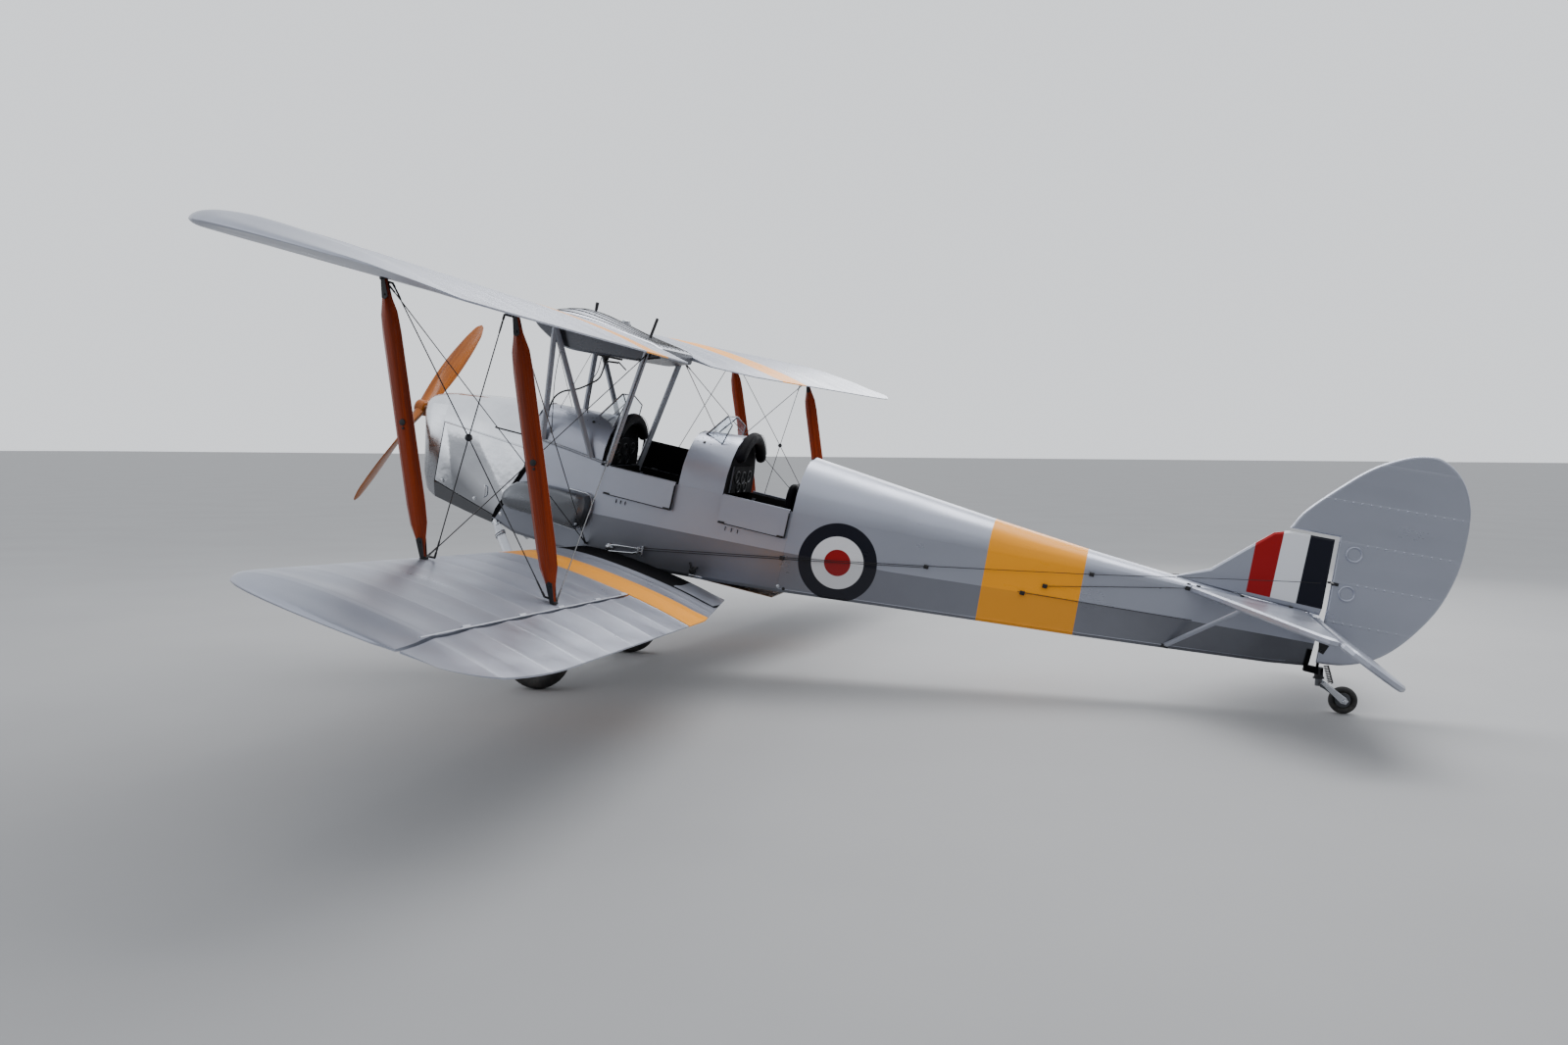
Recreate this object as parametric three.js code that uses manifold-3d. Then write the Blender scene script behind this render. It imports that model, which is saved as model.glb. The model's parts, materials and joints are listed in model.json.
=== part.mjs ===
// Two-seat open-cockpit training biplane, parked on its wheels.
// Millimetres. The row frame has +X forward, +Y to the left wing and +Z up, with
// the origin on the ground under the middle of the bounding box.
// The airframe is drawn in its own frame first: aft of the propeller hub, left of
// the middle plane, and up from the thrust line. The parked attitude turns that
// frame nose up, so that the main wheels and the tail wheel stand on the ground.

import * as THREE from "three";
import { mergeVertices } from "three/addons/utils/BufferGeometryUtils.js";
import Module from "manifold-3d";

const wasm = await Module();
wasm.setup();

// Parked attitude.
const NOSE_UP_DEGREES = 11.81;
const HUB_HEIGHT = 1941;
const HUB_FORWARD = 3540;
const PARKED = new THREE.Matrix4()
  .makeTranslation(HUB_FORWARD, 0, HUB_HEIGHT)
  .multiply(new THREE.Matrix4().makeRotationY(-THREE.MathUtils.degToRad(NOSE_UP_DEGREES)));

// Gaps.
const TOUCH = 0.3;
const MOVING_GAP = 7;

// Colours used only to tell the pieces apart here.
const COLOURS = {
  dope: 0xc9ced6,
  metal: 0xb8bcc2,
  paint: 0x9aa0a8,
  wood: 0x8a3818,
  propeller: 0xb5692c,
  tyre: 0x1c1c1e,
  leather: 0x1a1a1c,
  glass: 0xa8c4cc,
  steel: 0x70757c,
  dark: 0x2a2c2e,
  stripe: 0xe2a33a,
};
const materials = {};
for (const [slot, colour] of Object.entries(COLOURS)) {
  materials[slot] = new THREE.MeshStandardMaterial({ color: colour, name: slot });
}

// Where a point stands on the ground, measured aft of the hub, left and up.
function fromGround(aft, left, up) {
  return new THREE.Vector3(HUB_FORWARD - aft, left, up).applyMatrix4(PARKED.clone().invert());
}

const part = new THREE.Group();
part.name = "biplane";

// A point of the airframe: distances aft, left and up from the propeller hub.
function at(aft, left, up) {
  return new THREE.Vector3(-aft, left, up);
}

// Turns a closed geometry right way out and merges its seams.
function solid(geometry) {
  const bare = geometry.clone();
  bare.deleteAttribute("normal");
  bare.deleteAttribute("uv");
  const merged = mergeVertices(bare, 1e-3);
  if (signedVolume(merged) < 0) {
    const index = merged.index.array;
    for (let i = 0; i < index.length; i += 3) {
      [index[i], index[i + 1]] = [index[i + 1], index[i]];
    }
  }
  return merged;
}

function signedVolume(geometry) {
  const p = geometry.attributes.position;
  const index = geometry.index.array;
  const a = new THREE.Vector3();
  const b = new THREE.Vector3();
  const c = new THREE.Vector3();
  let volume = 0;
  for (let i = 0; i < index.length; i += 3) {
    a.fromBufferAttribute(p, index[i]);
    b.fromBufferAttribute(p, index[i + 1]);
    c.fromBufferAttribute(p, index[i + 2]);
    volume += a.dot(b.cross(c)) / 6;
  }
  return volume;
}

function toManifold(geometry) {
  const g = solid(geometry);
  return new wasm.Manifold(new wasm.Mesh({
    numProp: 3,
    vertProperties: new Float32Array(g.attributes.position.array),
    triVerts: new Uint32Array(g.index.array),
  }));
}

function fromManifold(manifold) {
  const mesh = manifold.getMesh();
  const g = new THREE.BufferGeometry();
  g.setAttribute("position", new THREE.BufferAttribute(new Float32Array(mesh.vertProperties), 3));
  g.setIndex(new THREE.BufferAttribute(new Uint32Array(mesh.triVerts), 1));
  return g;
}

function union(...geometries) {
  return fromManifold(geometries.map(toManifold).reduce((sum, next) => sum.add(next)));
}

function cut(body, ...tools) {
  return fromManifold(tools.map(toManifold).reduce((rest, tool) => rest.subtract(tool), toManifold(body)));
}

function common(body, tool) {
  return fromManifold(toManifold(body).intersect(toManifold(tool)));
}

// Trims a piece to rest on a neighbour, just off its face in the way given.
function rest(piece, neighbour, left, up, forward = 0) {
  const shifted = solid(neighbour);
  shifted.translate(forward * TOUCH, left * TOUCH, up * TOUCH);
  return cut(piece, neighbour, shifted);
}

// A skin through rings of points with equal counts, closed by a fan at both ends.
function loft(rings) {
  const count = rings[0].length;
  const positions = [];
  const index = [];
  for (const ring of rings) {
    for (const p of ring) positions.push(p.x, p.y, p.z);
  }
  for (let r = 0; r < rings.length - 1; r += 1) {
    for (let i = 0; i < count; i += 1) {
      const j = (i + 1) % count;
      const a = r * count;
      const b = a + count;
      index.push(a + i, a + j, b + j, a + i, b + j, b + i);
    }
  }
  for (const [ring, first] of [[rings[0], 0], [rings[rings.length - 1], (rings.length - 1) * count]]) {
    const middle = new THREE.Vector3();
    ring.forEach((p) => middle.addScaledVector(p, 1 / count));
    const centre = positions.length / 3;
    positions.push(middle.x, middle.y, middle.z);
    for (let i = 0; i < count; i += 1) {
      const j = (i + 1) % count;
      if (first === 0) index.push(centre, first + j, first + i);
      else index.push(centre, first + i, first + j);
    }
  }
  const g = new THREE.BufferGeometry();
  g.setAttribute("position", new THREE.BufferAttribute(new Float32Array(positions), 3));
  g.setIndex(index);
  return solid(g);
}

// A box between two corners given as aft, left and up.
function block(aft0, aft1, left0, left1, up0, up1) {
  const g = new THREE.BoxGeometry(aft1 - aft0, left1 - left0, up1 - up0);
  g.translate(-(aft0 + aft1) / 2, (left0 + left1) / 2, (up0 + up1) / 2);
  return g;
}

// A flat prism: an outline of [aft, up] pairs, thick across the middle plane.
function sidePrism(outline, left0, left1) {
  const ring = (left) => outline.map(([aft, up]) => at(aft, left, up));
  return prism(ring(left0), ring(left1));
}

// A flat prism: an outline of [aft, left] pairs, thick in height.
function planPrism(outline, up0, up1) {
  const ring = (up) => outline.map(([aft, left]) => at(aft, left, up));
  return prism(ring(up0), ring(up1));
}

// Joins two matching flat outlines, which may be hollow-sided, with cut caps.
function prism(lower, upper) {
  const count = lower.length;
  const axis = new THREE.Vector3().subVectors(upper[0], lower[0]);
  const flat = Math.abs(axis.y) > Math.abs(axis.z)
    ? lower.map((p) => new THREE.Vector2(p.x, p.z))
    : lower.map((p) => new THREE.Vector2(p.x, p.y));
  const caps = THREE.ShapeUtils.triangulateShape(flat, []);
  const positions = [...lower, ...upper].flatMap((p) => [p.x, p.y, p.z]);
  const turned = THREE.ShapeUtils.isClockWise(flat);
  const index = [];
  for (const [a, b, c] of caps) {
    index.push(a, c, b, a + count, b + count, c + count);
  }
  for (let i = 0; i < count; i += 1) {
    const j = (i + 1) % count;
    if (turned) index.push(i, j + count, j, i, i + count, j + count);
    else index.push(i, j, j + count, i, j + count, i + count);
  }
  const g = new THREE.BufferGeometry();
  g.setAttribute("position", new THREE.BufferAttribute(new Float32Array(positions), 3));
  g.setIndex(index);
  return solid(g);
}

// A round bar from one point to another.
function bar(from, to, radius, sides = 8, endRadius = radius) {
  const length = from.distanceTo(to);
  const g = new THREE.CylinderGeometry(endRadius, radius, length, sides);
  g.translate(0, length / 2, 0);
  const turn = new THREE.Quaternion().setFromUnitVectors(
    new THREE.Vector3(0, 1, 0), new THREE.Vector3().subVectors(to, from).normalize());
  g.applyQuaternion(turn);
  g.translate(from.x, from.y, from.z);
  return g;
}

// A streamlined strut: chord lies fore and aft, scaled by [along, chord, depth] rows.
function strut(from, to, chord, thickness, rows) {
  const along = new THREE.Vector3().subVectors(to, from);
  const side = new THREE.Vector3(0, 1, 0);
  const fore = new THREE.Vector3().crossVectors(side, along).normalize();
  const across = new THREE.Vector3().crossVectors(along, fore).normalize();
  const shape = [[0.5, 0], [0.3, 0.42], [0.05, 0.5], [-0.25, 0.32], [-0.5, 0.04],
    [-0.5, -0.04], [-0.25, -0.32], [0.05, -0.5], [0.3, -0.42]];
  const forward = fore.x > 0 ? 1 : -1;
  return loft(rows.map(([share, wide, deep]) => shape.map(([f, a]) => from.clone()
    .addScaledVector(along, share)
    .addScaledVector(fore, forward * f * chord * wide)
    .addScaledVector(across, a * thickness * deep))));
}

function add(name, material, geometry) {
  const placed = solid(geometry).applyMatrix4(PARKED);
  placed.computeVertexNormals();
  const mesh = new THREE.Mesh(placed, materials[material]);
  mesh.name = name;
  part.add(mesh);
  return mesh;
}

// The same piece on the right side.
function mirror(geometry) {
  const other = solid(geometry);
  other.scale(1, -1, 1);
  return other;
}

// Adds a piece of the left side and its mirror image, each trimmed to its neighbours.
function addPair(name, material, geometry, trim = (piece) => piece) {
  add(`${name}_left`, material, trim(geometry, 1));
  add(`${name}_right`, material, trim(mirror(geometry), -1));
}

// Wings. Each edge line is given where the interplane struts stand; near the root
// the trailing edge comes forward by the root cut.
const SEMI_SPAN = 4470;
const STRUT_LEFT = 2838;
const slope = (degrees) => Math.tan(THREE.MathUtils.degToRad(degrees));
const UPPER = {
  chord: 1330, edgeAft: 1275, edgeUp: 880, rootLeft: 322, rootCut: 165, rootCutLeft: 760,
  sweep: slope(7.26), rise: slope(0.9), incidence: THREE.MathUtils.degToRad(4.28),
  frontSpar: 154, rearSpar: 915,
};
const LOWER = {
  chord: 1335, edgeAft: 1790, edgeUp: -550, rootLeft: 312, rootCut: 150, rootCutLeft: 1420,
  sweep: slope(4.6), rise: slope(3.9), incidence: THREE.MathUtils.degToRad(3.6),
  frontSpar: 134, rearSpar: 880,
};
const SKIN = [
  // share of chord, height above and below the chord line over the chord
  { share: 0.00, above: 0.000, below: 0.000 },
  { share: 0.012, above: 0.019, below: -0.009 },
  { share: 0.05, above: 0.040, below: -0.013 },
  { share: 0.12, above: 0.056, below: -0.010 },
  { share: 0.24, above: 0.067, below: -0.006 },
  { share: 0.38, above: 0.067, below: -0.003 },
  { share: 0.55, above: 0.059, below: -0.002 },
  { share: 0.72, above: 0.045, below: -0.002 },
  { share: 0.88, above: 0.024, below: -0.003 },
  { share: 1.00, above: 0.002, below: -0.004 },
];
const TIP = { frontReach: 300, rearReach: 820, widest: 1060 };
const AILERON = { hinge: 922, gap: 20, innerLeft: 1800, axisBack: 946, axisHigh: 30, pin: 3.5 };

// Where the outline starts and ends at a span station, from the leading edge line.
function chordSpan(wing, left) {
  let from = 0;
  let to = wing.chord;
  const root = (wing.rootCutLeft - left) / (wing.rootCutLeft - wing.rootLeft);
  const front = (left - (SEMI_SPAN - TIP.frontReach)) / TIP.frontReach;
  const rear = (left - (SEMI_SPAN - TIP.rearReach)) / TIP.rearReach;
  if (front > 0) from = TIP.widest * (1 - Math.sqrt(Math.max(0, 1 - front * front)));
  if (rear > 0) to = TIP.widest + (wing.chord - TIP.widest) * Math.sqrt(Math.max(0, 1 - rear * rear));
  if (root > 0) to -= wing.rootCut * root;
  return [from, to];
}

function skinHeight(share, key) {
  for (let i = 1; i < SKIN.length; i += 1) {
    if (share <= SKIN[i].share) {
      const a = SKIN[i - 1];
      const b = SKIN[i];
      return a[key] + ((b[key] - a[key]) * (share - a.share)) / (b.share - a.share);
    }
  }
  return SKIN[SKIN.length - 1][key];
}

// A point of a wing: how far behind the leading edge line, how far left, how high.
function onWing(wing, back, left, high) {
  const edgeAft = wing.edgeAft + (left - STRUT_LEFT) * wing.sweep;
  const edgeUp = wing.edgeUp + (left - STRUT_LEFT) * wing.rise;
  const c = Math.cos(wing.incidence);
  const s = Math.sin(wing.incidence);
  return at(edgeAft + back * c + high * s, left, edgeUp - back * s + high * c);
}

// The upper surface point of a wing.
function wingTop(wing, back, left, lift = 0) {
  return onWing(wing, back, left, skinHeight(back / wing.chord, "above") * wing.chord + lift);
}

function wingUnder(wing, back, left, drop = 0) {
  return onWing(wing, back, left, skinHeight(back / wing.chord, "below") * wing.chord - drop);
}

function wingRing(wing, left) {
  const [from, to] = chordSpan(wing, left);
  const scale = (to - from) / wing.chord;
  const thin = 0.25 + 0.75 * Math.min(1, Math.max(0, (SEMI_SPAN - left) / 260));
  const middle = 0.02 * wing.chord;
  const point = (row, key) => {
    const high = middle + (row[key] * wing.chord - middle) * thin * Math.sqrt(scale);
    return onWing(wing, from + row.share * (to - from), left, high);
  };
  const above = SKIN.map((row) => point(row, "above"));
  const below = SKIN.slice(1).reverse().map((row) => point(row, "below"));
  return [...above, ...below];
}

function wingBody(wing) {
  const stations = [wing.rootLeft, wing.rootCutLeft, 1800, 2800, 3650, 3900, 4100, 4200, 4290, 4360, 4410,
    4445, 4462];
  return loft(stations.map((left) => wingRing(wing, left)));
}

// The aileron's outline seen from above, grown by a gap.
function aileronCutter(grow) {
  const outline = [];
  for (const [left, back] of [
    [AILERON.innerLeft - grow, AILERON.hinge + AILERON.gap - grow],
    [SEMI_SPAN + 200, AILERON.hinge + AILERON.gap - grow],
    [SEMI_SPAN + 200, LOWER.chord + 300],
    [AILERON.innerLeft - grow, LOWER.chord + 300]]) {
    const edgeAft = LOWER.edgeAft + (left - STRUT_LEFT) * LOWER.sweep;
    outline.push([edgeAft + back * Math.cos(LOWER.incidence), left]);
  }
  return planPrism(outline, -1100, 200);
}

// The pin on the hinge line that carries the inner end of an aileron.
function aileronPin() {
  const place = (left) => onWing(LOWER, AILERON.axisBack, left, AILERON.axisHigh);
  const pin = bar(place(AILERON.innerLeft - AILERON.gap - 40), place(AILERON.innerLeft + 10), AILERON.pin, 10);
  return cut(pin, aileronCutter(TOUCH));
}

function addWings(frontBody, tub) {
  addPair("upper_wing", "dope", wingBody(UPPER));
  const lower = wingBody(LOWER);
  const fixed = union(cut(lower, aileronCutter(AILERON.gap)), aileronPin());
  addPair("lower_wing", "dope", fixed, (piece, side) => rest(rest(piece, frontBody, side, 0), tub, side, 0));
  addPair("aileron", "dope", common(lower, aileronCutter(0)));
}

// Interplane struts, with their fittings.
function interplaneStrut(spar) {
  const foot = wingTop(LOWER, LOWER[spar], STRUT_LEFT, -6);
  const head = wingUnder(UPPER, UPPER[spar], STRUT_LEFT, -6);
  const rows = [
    [0.012, 0.28, 0.5], [0.045, 0.32, 0.7], [0.13, 0.9, 1], [0.2, 1, 1],
    [0.8, 1, 1], [0.87, 0.9, 1], [0.955, 0.32, 0.7], [0.988, 0.28, 0.5]];
  const wood = strut(foot, head, 108, 44, rows);
  const along = new THREE.Vector3().subVectors(head, foot).normalize();
  const low = bar(foot, foot.clone().addScaledVector(along, 60), 15, 8, 12);
  const high = bar(head.clone().addScaledVector(along, -60), head, 12, 8, 15);
  return rest(rest(union(wood, low, high), wingBody(LOWER), 0, 1), wingBody(UPPER), 0, -1);
}

// Fuselage sections: half width, bottom, crease, longeron and top at each station.
const HULL = [
  { aft: 890, half: 280, bottom: -652, crease: -440, longeron: -10, top: 245 },
  { aft: 1090, half: 292, bottom: -714, crease: -440, longeron: -18, top: 258 },
  { aft: 1700, half: 325, bottom: -740, crease: -424, longeron: -80, top: 276 },
  { aft: 2280, half: 332, bottom: -712, crease: -404, longeron: -85, top: 302 },
  { aft: 2610, half: 332, bottom: -692, crease: -390, longeron: -86, top: 330 },
  { aft: 3120, half: 326, bottom: -646, crease: -368, longeron: -88, top: 292 },
  { aft: 3850, half: 262, bottom: -578, crease: -334, longeron: -66, top: 214 },
  { aft: 4470, half: 206, bottom: -524, crease: -285, longeron: -48, top: 150 },
  { aft: 5100, half: 150, bottom: -470, crease: -240, longeron: -28, top: 93 },
  { aft: 5700, half: 98, bottom: -412, crease: -205, longeron: -12, top: 52 },
  { aft: 6300, half: 46, bottom: -352, crease: -175, longeron: -4, top: 16 },
  { aft: 6540, half: 26, bottom: -316, crease: -165, longeron: -2, top: 8 },
];
const BULGE = 12;

function hullAt(aft) {
  let i = 1;
  while (i < HULL.length - 1 && HULL[i].aft < aft) i += 1;
  const a = HULL[i - 1];
  const b = HULL[i];
  const t = (aft - a.aft) / (b.aft - a.aft);
  const mix = (key) => a[key] + (b[key] - a[key]) * t;
  return {
    aft, half: mix("half"), bottom: mix("bottom"), crease: mix("crease"),
    longeron: mix("longeron"), top: mix("top"),
  };
}

// The flat-sided lower part of the fuselage at a station, drawn in by a wall.
function hullRing(aft, inset = 0, lid = 0) {
  const h = hullAt(aft);
  const half = h.half - inset;
  const rib = half + BULGE;
  const floor = h.bottom + inset;
  const rim = h.longeron + lid;
  return [at(aft, half - 16, floor), at(aft, half, floor + 22), at(aft, rib, h.crease),
    at(aft, half, rim), at(aft, -half, rim), at(aft, -rib, h.crease),
    at(aft, -half, floor + 22), at(aft, -half + 16, floor)];
}

// The rounded decking above the longerons at a station.
function deckRing(aft, foot) {
  const h = hullAt(aft);
  const steps = 10;
  const ring = [];
  for (let i = 0; i <= steps; i += 1) {
    const t = (Math.PI * i) / steps;
    const left = h.half * Math.cos(t);
    const lift = Math.sin(t) ** 0.92 * (h.top - h.longeron);
    ring.push(at(aft, left, h.longeron + foot + lift));
  }
  return ring;
}

const FIREWALL = 1090;

// The slanted front edge of the fuselage sides below the thrust line, as [aft, up].
const SLANT = [[1090, -216], [894, -622], [860, -700], [860, -900]];
const FRONT_COCKPIT = { from: 1700, to: 2280 };
const REAR_COCKPIT = { from: 2610, to: 3120 };
const STERN = 6540;
const WALL = 22;
const DECK_END = 1680;

// The stick of one cockpit, standing in the floor.
function controlStick(aft) {
  const foot = at(aft, 0, hullAt(aft).bottom + WALL / 2);
  const knee = at(aft - 5, 0, -330);
  const top = at(aft + 25, 0, -150);
  return union(bar(foot, knee, 12), bar(knee, top, 12), bar(at(aft + 22, 0, -180), at(aft + 30, 0, -90), 17));
}

function hullStations(from, to) {
  return [from, ...HULL.map((h) => h.aft).filter((a) => a > from + 1 && a < to - 1), to];
}

const hull = (from, to) => loft(hullStations(from, to).map((aft) => hullRing(aft)));
const deck = (from, to, foot) => loft(hullStations(from, to).map((aft) => deckRing(aft, foot)));

// The instrument panel of one cockpit, on the rear face of the decking ahead of it.
function instrumentPanel(aft) {
  return block(aft - 4, aft + 12, -215, 215, hullAt(aft).longeron + 12, hullAt(aft).longeron + 200);
}

function frontFuselage() {
  const ahead = sidePrism([[700, 100], [FIREWALL, 100], ...SLANT, [700, -900]], -400, 400);
  return union(
    cut(hull(HULL[0].aft, FRONT_COCKPIT.from), ahead), deck(FIREWALL, DECK_END, -2), instrumentPanel(DECK_END));
}

// The doors' places, and the lugs on the sills that carry their hinge rods.
const FRONT_DOOR = [FRONT_COCKPIT.from + 48, FRONT_COCKPIT.to - 12];
const REAR_DOOR = [REAR_COCKPIT.from + 12, REAR_COCKPIT.to - 12];
const DOOR = { height: 196, thick: 14, hingeOut: 14, hingeUp: 8, splay: 12, rod: 5, lug: 50 };

function sillLug(from) {
  const ring = (aft) => {
    const h = hullAt(aft);
    const inner = h.half - 10;
    const outer = h.half + DOOR.hingeOut - DOOR.rod + TOUCH;
    const top = h.longeron + DOOR.hingeUp - DOOR.rod / 2;
    return [at(aft, inner, top), at(aft, outer, top), at(aft, outer, h.longeron - 12), at(aft, inner, h.longeron - 12)];
  };
  return loft([ring(from), ring(from + DOOR.lug)]);
}

function cockpitTub() {
  const outer = hull(FRONT_COCKPIT.from + TOUCH, REAR_COCKPIT.to);
  const inside = loft(hullStations(FRONT_COCKPIT.from + WALL, REAR_COCKPIT.to - WALL)
    .map((aft) => hullRing(aft, WALL, 60)));
  const lugs = [FRONT_DOOR, REAR_DOOR].flatMap(([from, to]) => [sillLug(from + 60), sillLug(to - 110)]);
  return union(
    cut(outer, inside), ...lugs, ...lugs.map(mirror),
    controlStick(FRONT_COCKPIT.from + 135), controlStick(REAR_COCKPIT.from + 100));
}

function midDecking() {
  return union(deck(FRONT_COCKPIT.to, REAR_COCKPIT.from, TOUCH), instrumentPanel(REAR_COCKPIT.from));
}

// The padded roll along the coaming above an instrument panel.
const ROLL = { deep: 31, thick: 38, sweep: 108, ends: [[0, 0.55], [0.05, 0.9], [0.12, 1], [0.3, 1], [0.5, 1], [0.7, 1],
  [0.88, 1], [0.95, 0.9], [1, 0.55]] };

function coamingRoll(aft) {
  const h = hullAt(aft);
  const rings = ROLL.ends.map(([share, scale]) => {
    const t = THREE.MathUtils.degToRad(90 - ROLL.sweep / 2 + ROLL.sweep * share);
    const ring = [];
    for (let i = 0; i < 10; i += 1) {
      const turn = (2 * Math.PI * i) / 10;
      const out = ROLL.thick * scale * Math.sin(turn);
      ring.push(at(
        aft + TOUCH + ROLL.deep * (1 - scale * Math.cos(turn)),
        h.half * Math.cos(t) * 0.97 + out * Math.cos(t),
        h.longeron + Math.sin(t) * (h.top - h.longeron - 4) + out * Math.sin(t)));
    }
    return ring;
  });
  const panel = instrumentPanel(aft);
  const grown = solid(panel);
  grown.translate(-TOUCH, 0, 0);
  return cut(loft(rings), panel, grown);
}

// The slot at the stern that the elevator tube passes through.
const ELEVATOR_AXIS = { aft: 6466, up: 2, tube: 14 };

function elevatorSlot() {
  const { aft, up, tube } = ELEVATOR_AXIS;
  return block(aft - 24, aft + 24, -150, 150, up - tube - TOUCH, up + tube + TOUCH);
}

// The rudder's hinge line, as [aft, up] at its foot and head.
const RUDDER_HINGE = [[6596.8, -320], [6542, 520]];

function rudderHinge(up) {
  const [[aft0, up0], [aft1, up1]] = RUDDER_HINGE;
  return at(aft0 + ((aft1 - aft0) * (up - up0)) / (up1 - up0), 0, up);
}

// The swivel of the tail wheel stands upright on the ground plane, not on the airframe.
const SWIVEL = { groundAft: 6404, low: 215, high: 262, radius: 24 };

function rearFuselage() {
  const body = union(
    hull(REAR_COCKPIT.to + TOUCH, STERN),
    deck(REAR_COCKPIT.to + TOUCH, 6100, -2),
    block(STERN - 20, STERN + 90, -26, 26, -352, -312),
    bar(rudderHinge(-330), rudderHinge(-284.4), 9, 12),
    bar(fromGround(SWIVEL.groundAft, 0, SWIVEL.high), fromGround(SWIVEL.groundAft, 0, SWIVEL.low), SWIVEL.radius, 16));
  return cut(body, elevatorSlot());
}

// Cockpit doors, on hinge rods along the sills: open they hang outside, shut they stand.
function doorPanel([from, to], isOpen) {
  const h0 = hullAt(from);
  const h1 = hullAt(to);
  const out = DOOR.hingeOut;
  const ring = (aft, h) => {
    const base = h.half + out;
    const up = h.longeron + DOOR.hingeUp;
    if (isOpen) {
      return [at(aft, base, up), at(aft, base + DOOR.thick, up),
        at(aft, base + DOOR.thick + DOOR.splay, up - DOOR.height), at(aft, base + DOOR.splay, up - DOOR.height)];
    }
    return [at(aft, base, up), at(aft, base - DOOR.thick, up),
      at(aft, base - DOOR.thick, up + DOOR.height), at(aft, base, up + DOOR.height)];
  };
  const rod = bar(
    at(from, h0.half + out, h0.longeron + DOOR.hingeUp), at(to, h1.half + out, h1.longeron + DOOR.hingeUp), DOOR.rod, 8);
  return union(loft([ring(from, h0), ring(to, h1)]), rod);
}

function addDoors() {
  add("door_front_left", "dope", doorPanel(FRONT_DOOR, true));
  add("door_rear_left", "dope", doorPanel(REAR_DOOR, true));
  add("door_front_right", "dope", mirror(doorPanel(FRONT_DOOR, false)));
  add("door_rear_right", "dope", mirror(doorPanel(REAR_DOOR, true)));
}

// Seats and cushions.
const SEAT = { long: 340, half: 205, up: -430, sheet: 16, backTop: -130, sideTop: -300 };

function addCockpits(tub) {
  for (const [name, bay] of [["front", FRONT_COCKPIT], ["rear", REAR_COCKPIT]]) {
    const back = bay.to - WALL - 12;
    const front = back - SEAT.long;
    const floor = hullAt(front).bottom + WALL + TOUCH;
    const sheet = SEAT.sheet;
    const side = (sign) => block(front, back, Math.min(sign * SEAT.half, sign * (SEAT.half - sheet)),
      Math.max(sign * SEAT.half, sign * (SEAT.half - sheet)), SEAT.up, SEAT.sideTop);
    const leg = (sign) => block(front + 20, front + 60, sign * 150 - 15, sign * 150 + 15, floor - 14, SEAT.up + 2);
    const seat = union(
      block(front, back, -SEAT.half, SEAT.half, SEAT.up, SEAT.up + sheet),
      block(back - sheet, back, -SEAT.half, SEAT.half, SEAT.up, SEAT.backTop),
      side(1), side(-1), leg(1), leg(-1));
    add(`seat_${name}`, "metal", rest(seat, tub, 0, 1));
    add(`cushion_${name}`, "leather", block(front + 10, back - sheet - 4,
      sheet + 4 - SEAT.half, SEAT.half - sheet - 4, SEAT.up + sheet + TOUCH, SEAT.up + sheet + 70));
  }
}

// Windscreens: three framed panes on each decking.
function windscreen(aft, baseUp, wide, high) {
  const t = 7;
  const front = [[aft, 0.52], [aft + 120, 1]];
  const ring = (grow) => {
    const w = wide / 2;
    return [
      at(aft - grow, w * front[0][1], baseUp), at(aft - grow, -w * front[0][1], baseUp),
      at(aft + 150 - grow, -w * 0.5, baseUp + high), at(aft + 150 - grow, w * 0.5, baseUp + high)];
  };
  const middle = loft([ring(0), ring(-t)]);
  const side = (sign) => {
    const w = (wide / 2) * sign;
    const low = [at(aft + 5, w * 0.5, baseUp), at(aft + 170, w, baseUp - 60),
      at(aft + 210, w * 0.72, baseUp + high * 0.7), at(aft + 155, w * 0.48, baseUp + high)];
    const high2 = low.map((p) => p.clone().add(new THREE.Vector3(0, -sign * t, 0)));
    return loft([low, high2]);
  };
  return union(middle, side(1), side(-1));
}

// Cowling around the engine. Sag carries the lower end of a section further aft.
const COWL = [
  { aft: 76, half: 66, bottom: -330, shoulder: -10, top: 62, sag: 66 },
  { aft: 100, half: 108, bottom: -500, shoulder: -10, top: 104, sag: 86 },
  { aft: 125, half: 147, bottom: -560, shoulder: 0, top: 126, sag: 92 },
  { aft: 162, half: 183, bottom: -588, shoulder: 2, top: 143, sag: 90 },
  { aft: 218, half: 210, bottom: -604, shoulder: 5, top: 160, sag: 66 },
  { aft: 350, half: 239, bottom: -628, shoulder: 8, top: 184, sag: 0 },
  { aft: 640, half: 262, bottom: -678, shoulder: 6, top: 218, sag: 0 },
  { aft: 960, half: 284, bottom: -722, shoulder: 0, top: 253, sag: 0 },
  { aft: 1089.7, half: 292, bottom: -736, shoulder: -5, top: 262, sag: 0 },
];

function cowlRing(row, inset) {
  const half = row.half - inset;
  const ring = [];
  const steps = 8;
  for (let i = 0; i <= steps; i += 1) {
    const t = (Math.PI * i) / steps;
    const lift = Math.sin(t) ** 0.85 * (row.top - row.shoulder - inset);
    ring.push(at(row.aft, half * Math.cos(t), row.shoulder + lift));
  }
  const chin = row.bottom + inset;
  const turn = chin + 0.2 * (row.shoulder - chin);
  const low = (left, up) => ring.push(
    at(row.aft + (row.sag * (row.shoulder - up)) / (row.shoulder - chin), left, up));
  low(-half, turn);
  low(-half * 0.8, chin + 20);
  low(-half * 0.5, chin);
  low(half * 0.5, chin);
  low(half * 0.8, chin + 20);
  low(half, turn);
  return ring;
}

const COWL_WALL = 9;
const COWL_NOSE = 350;
const COWL_REAR = 1080;

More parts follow.
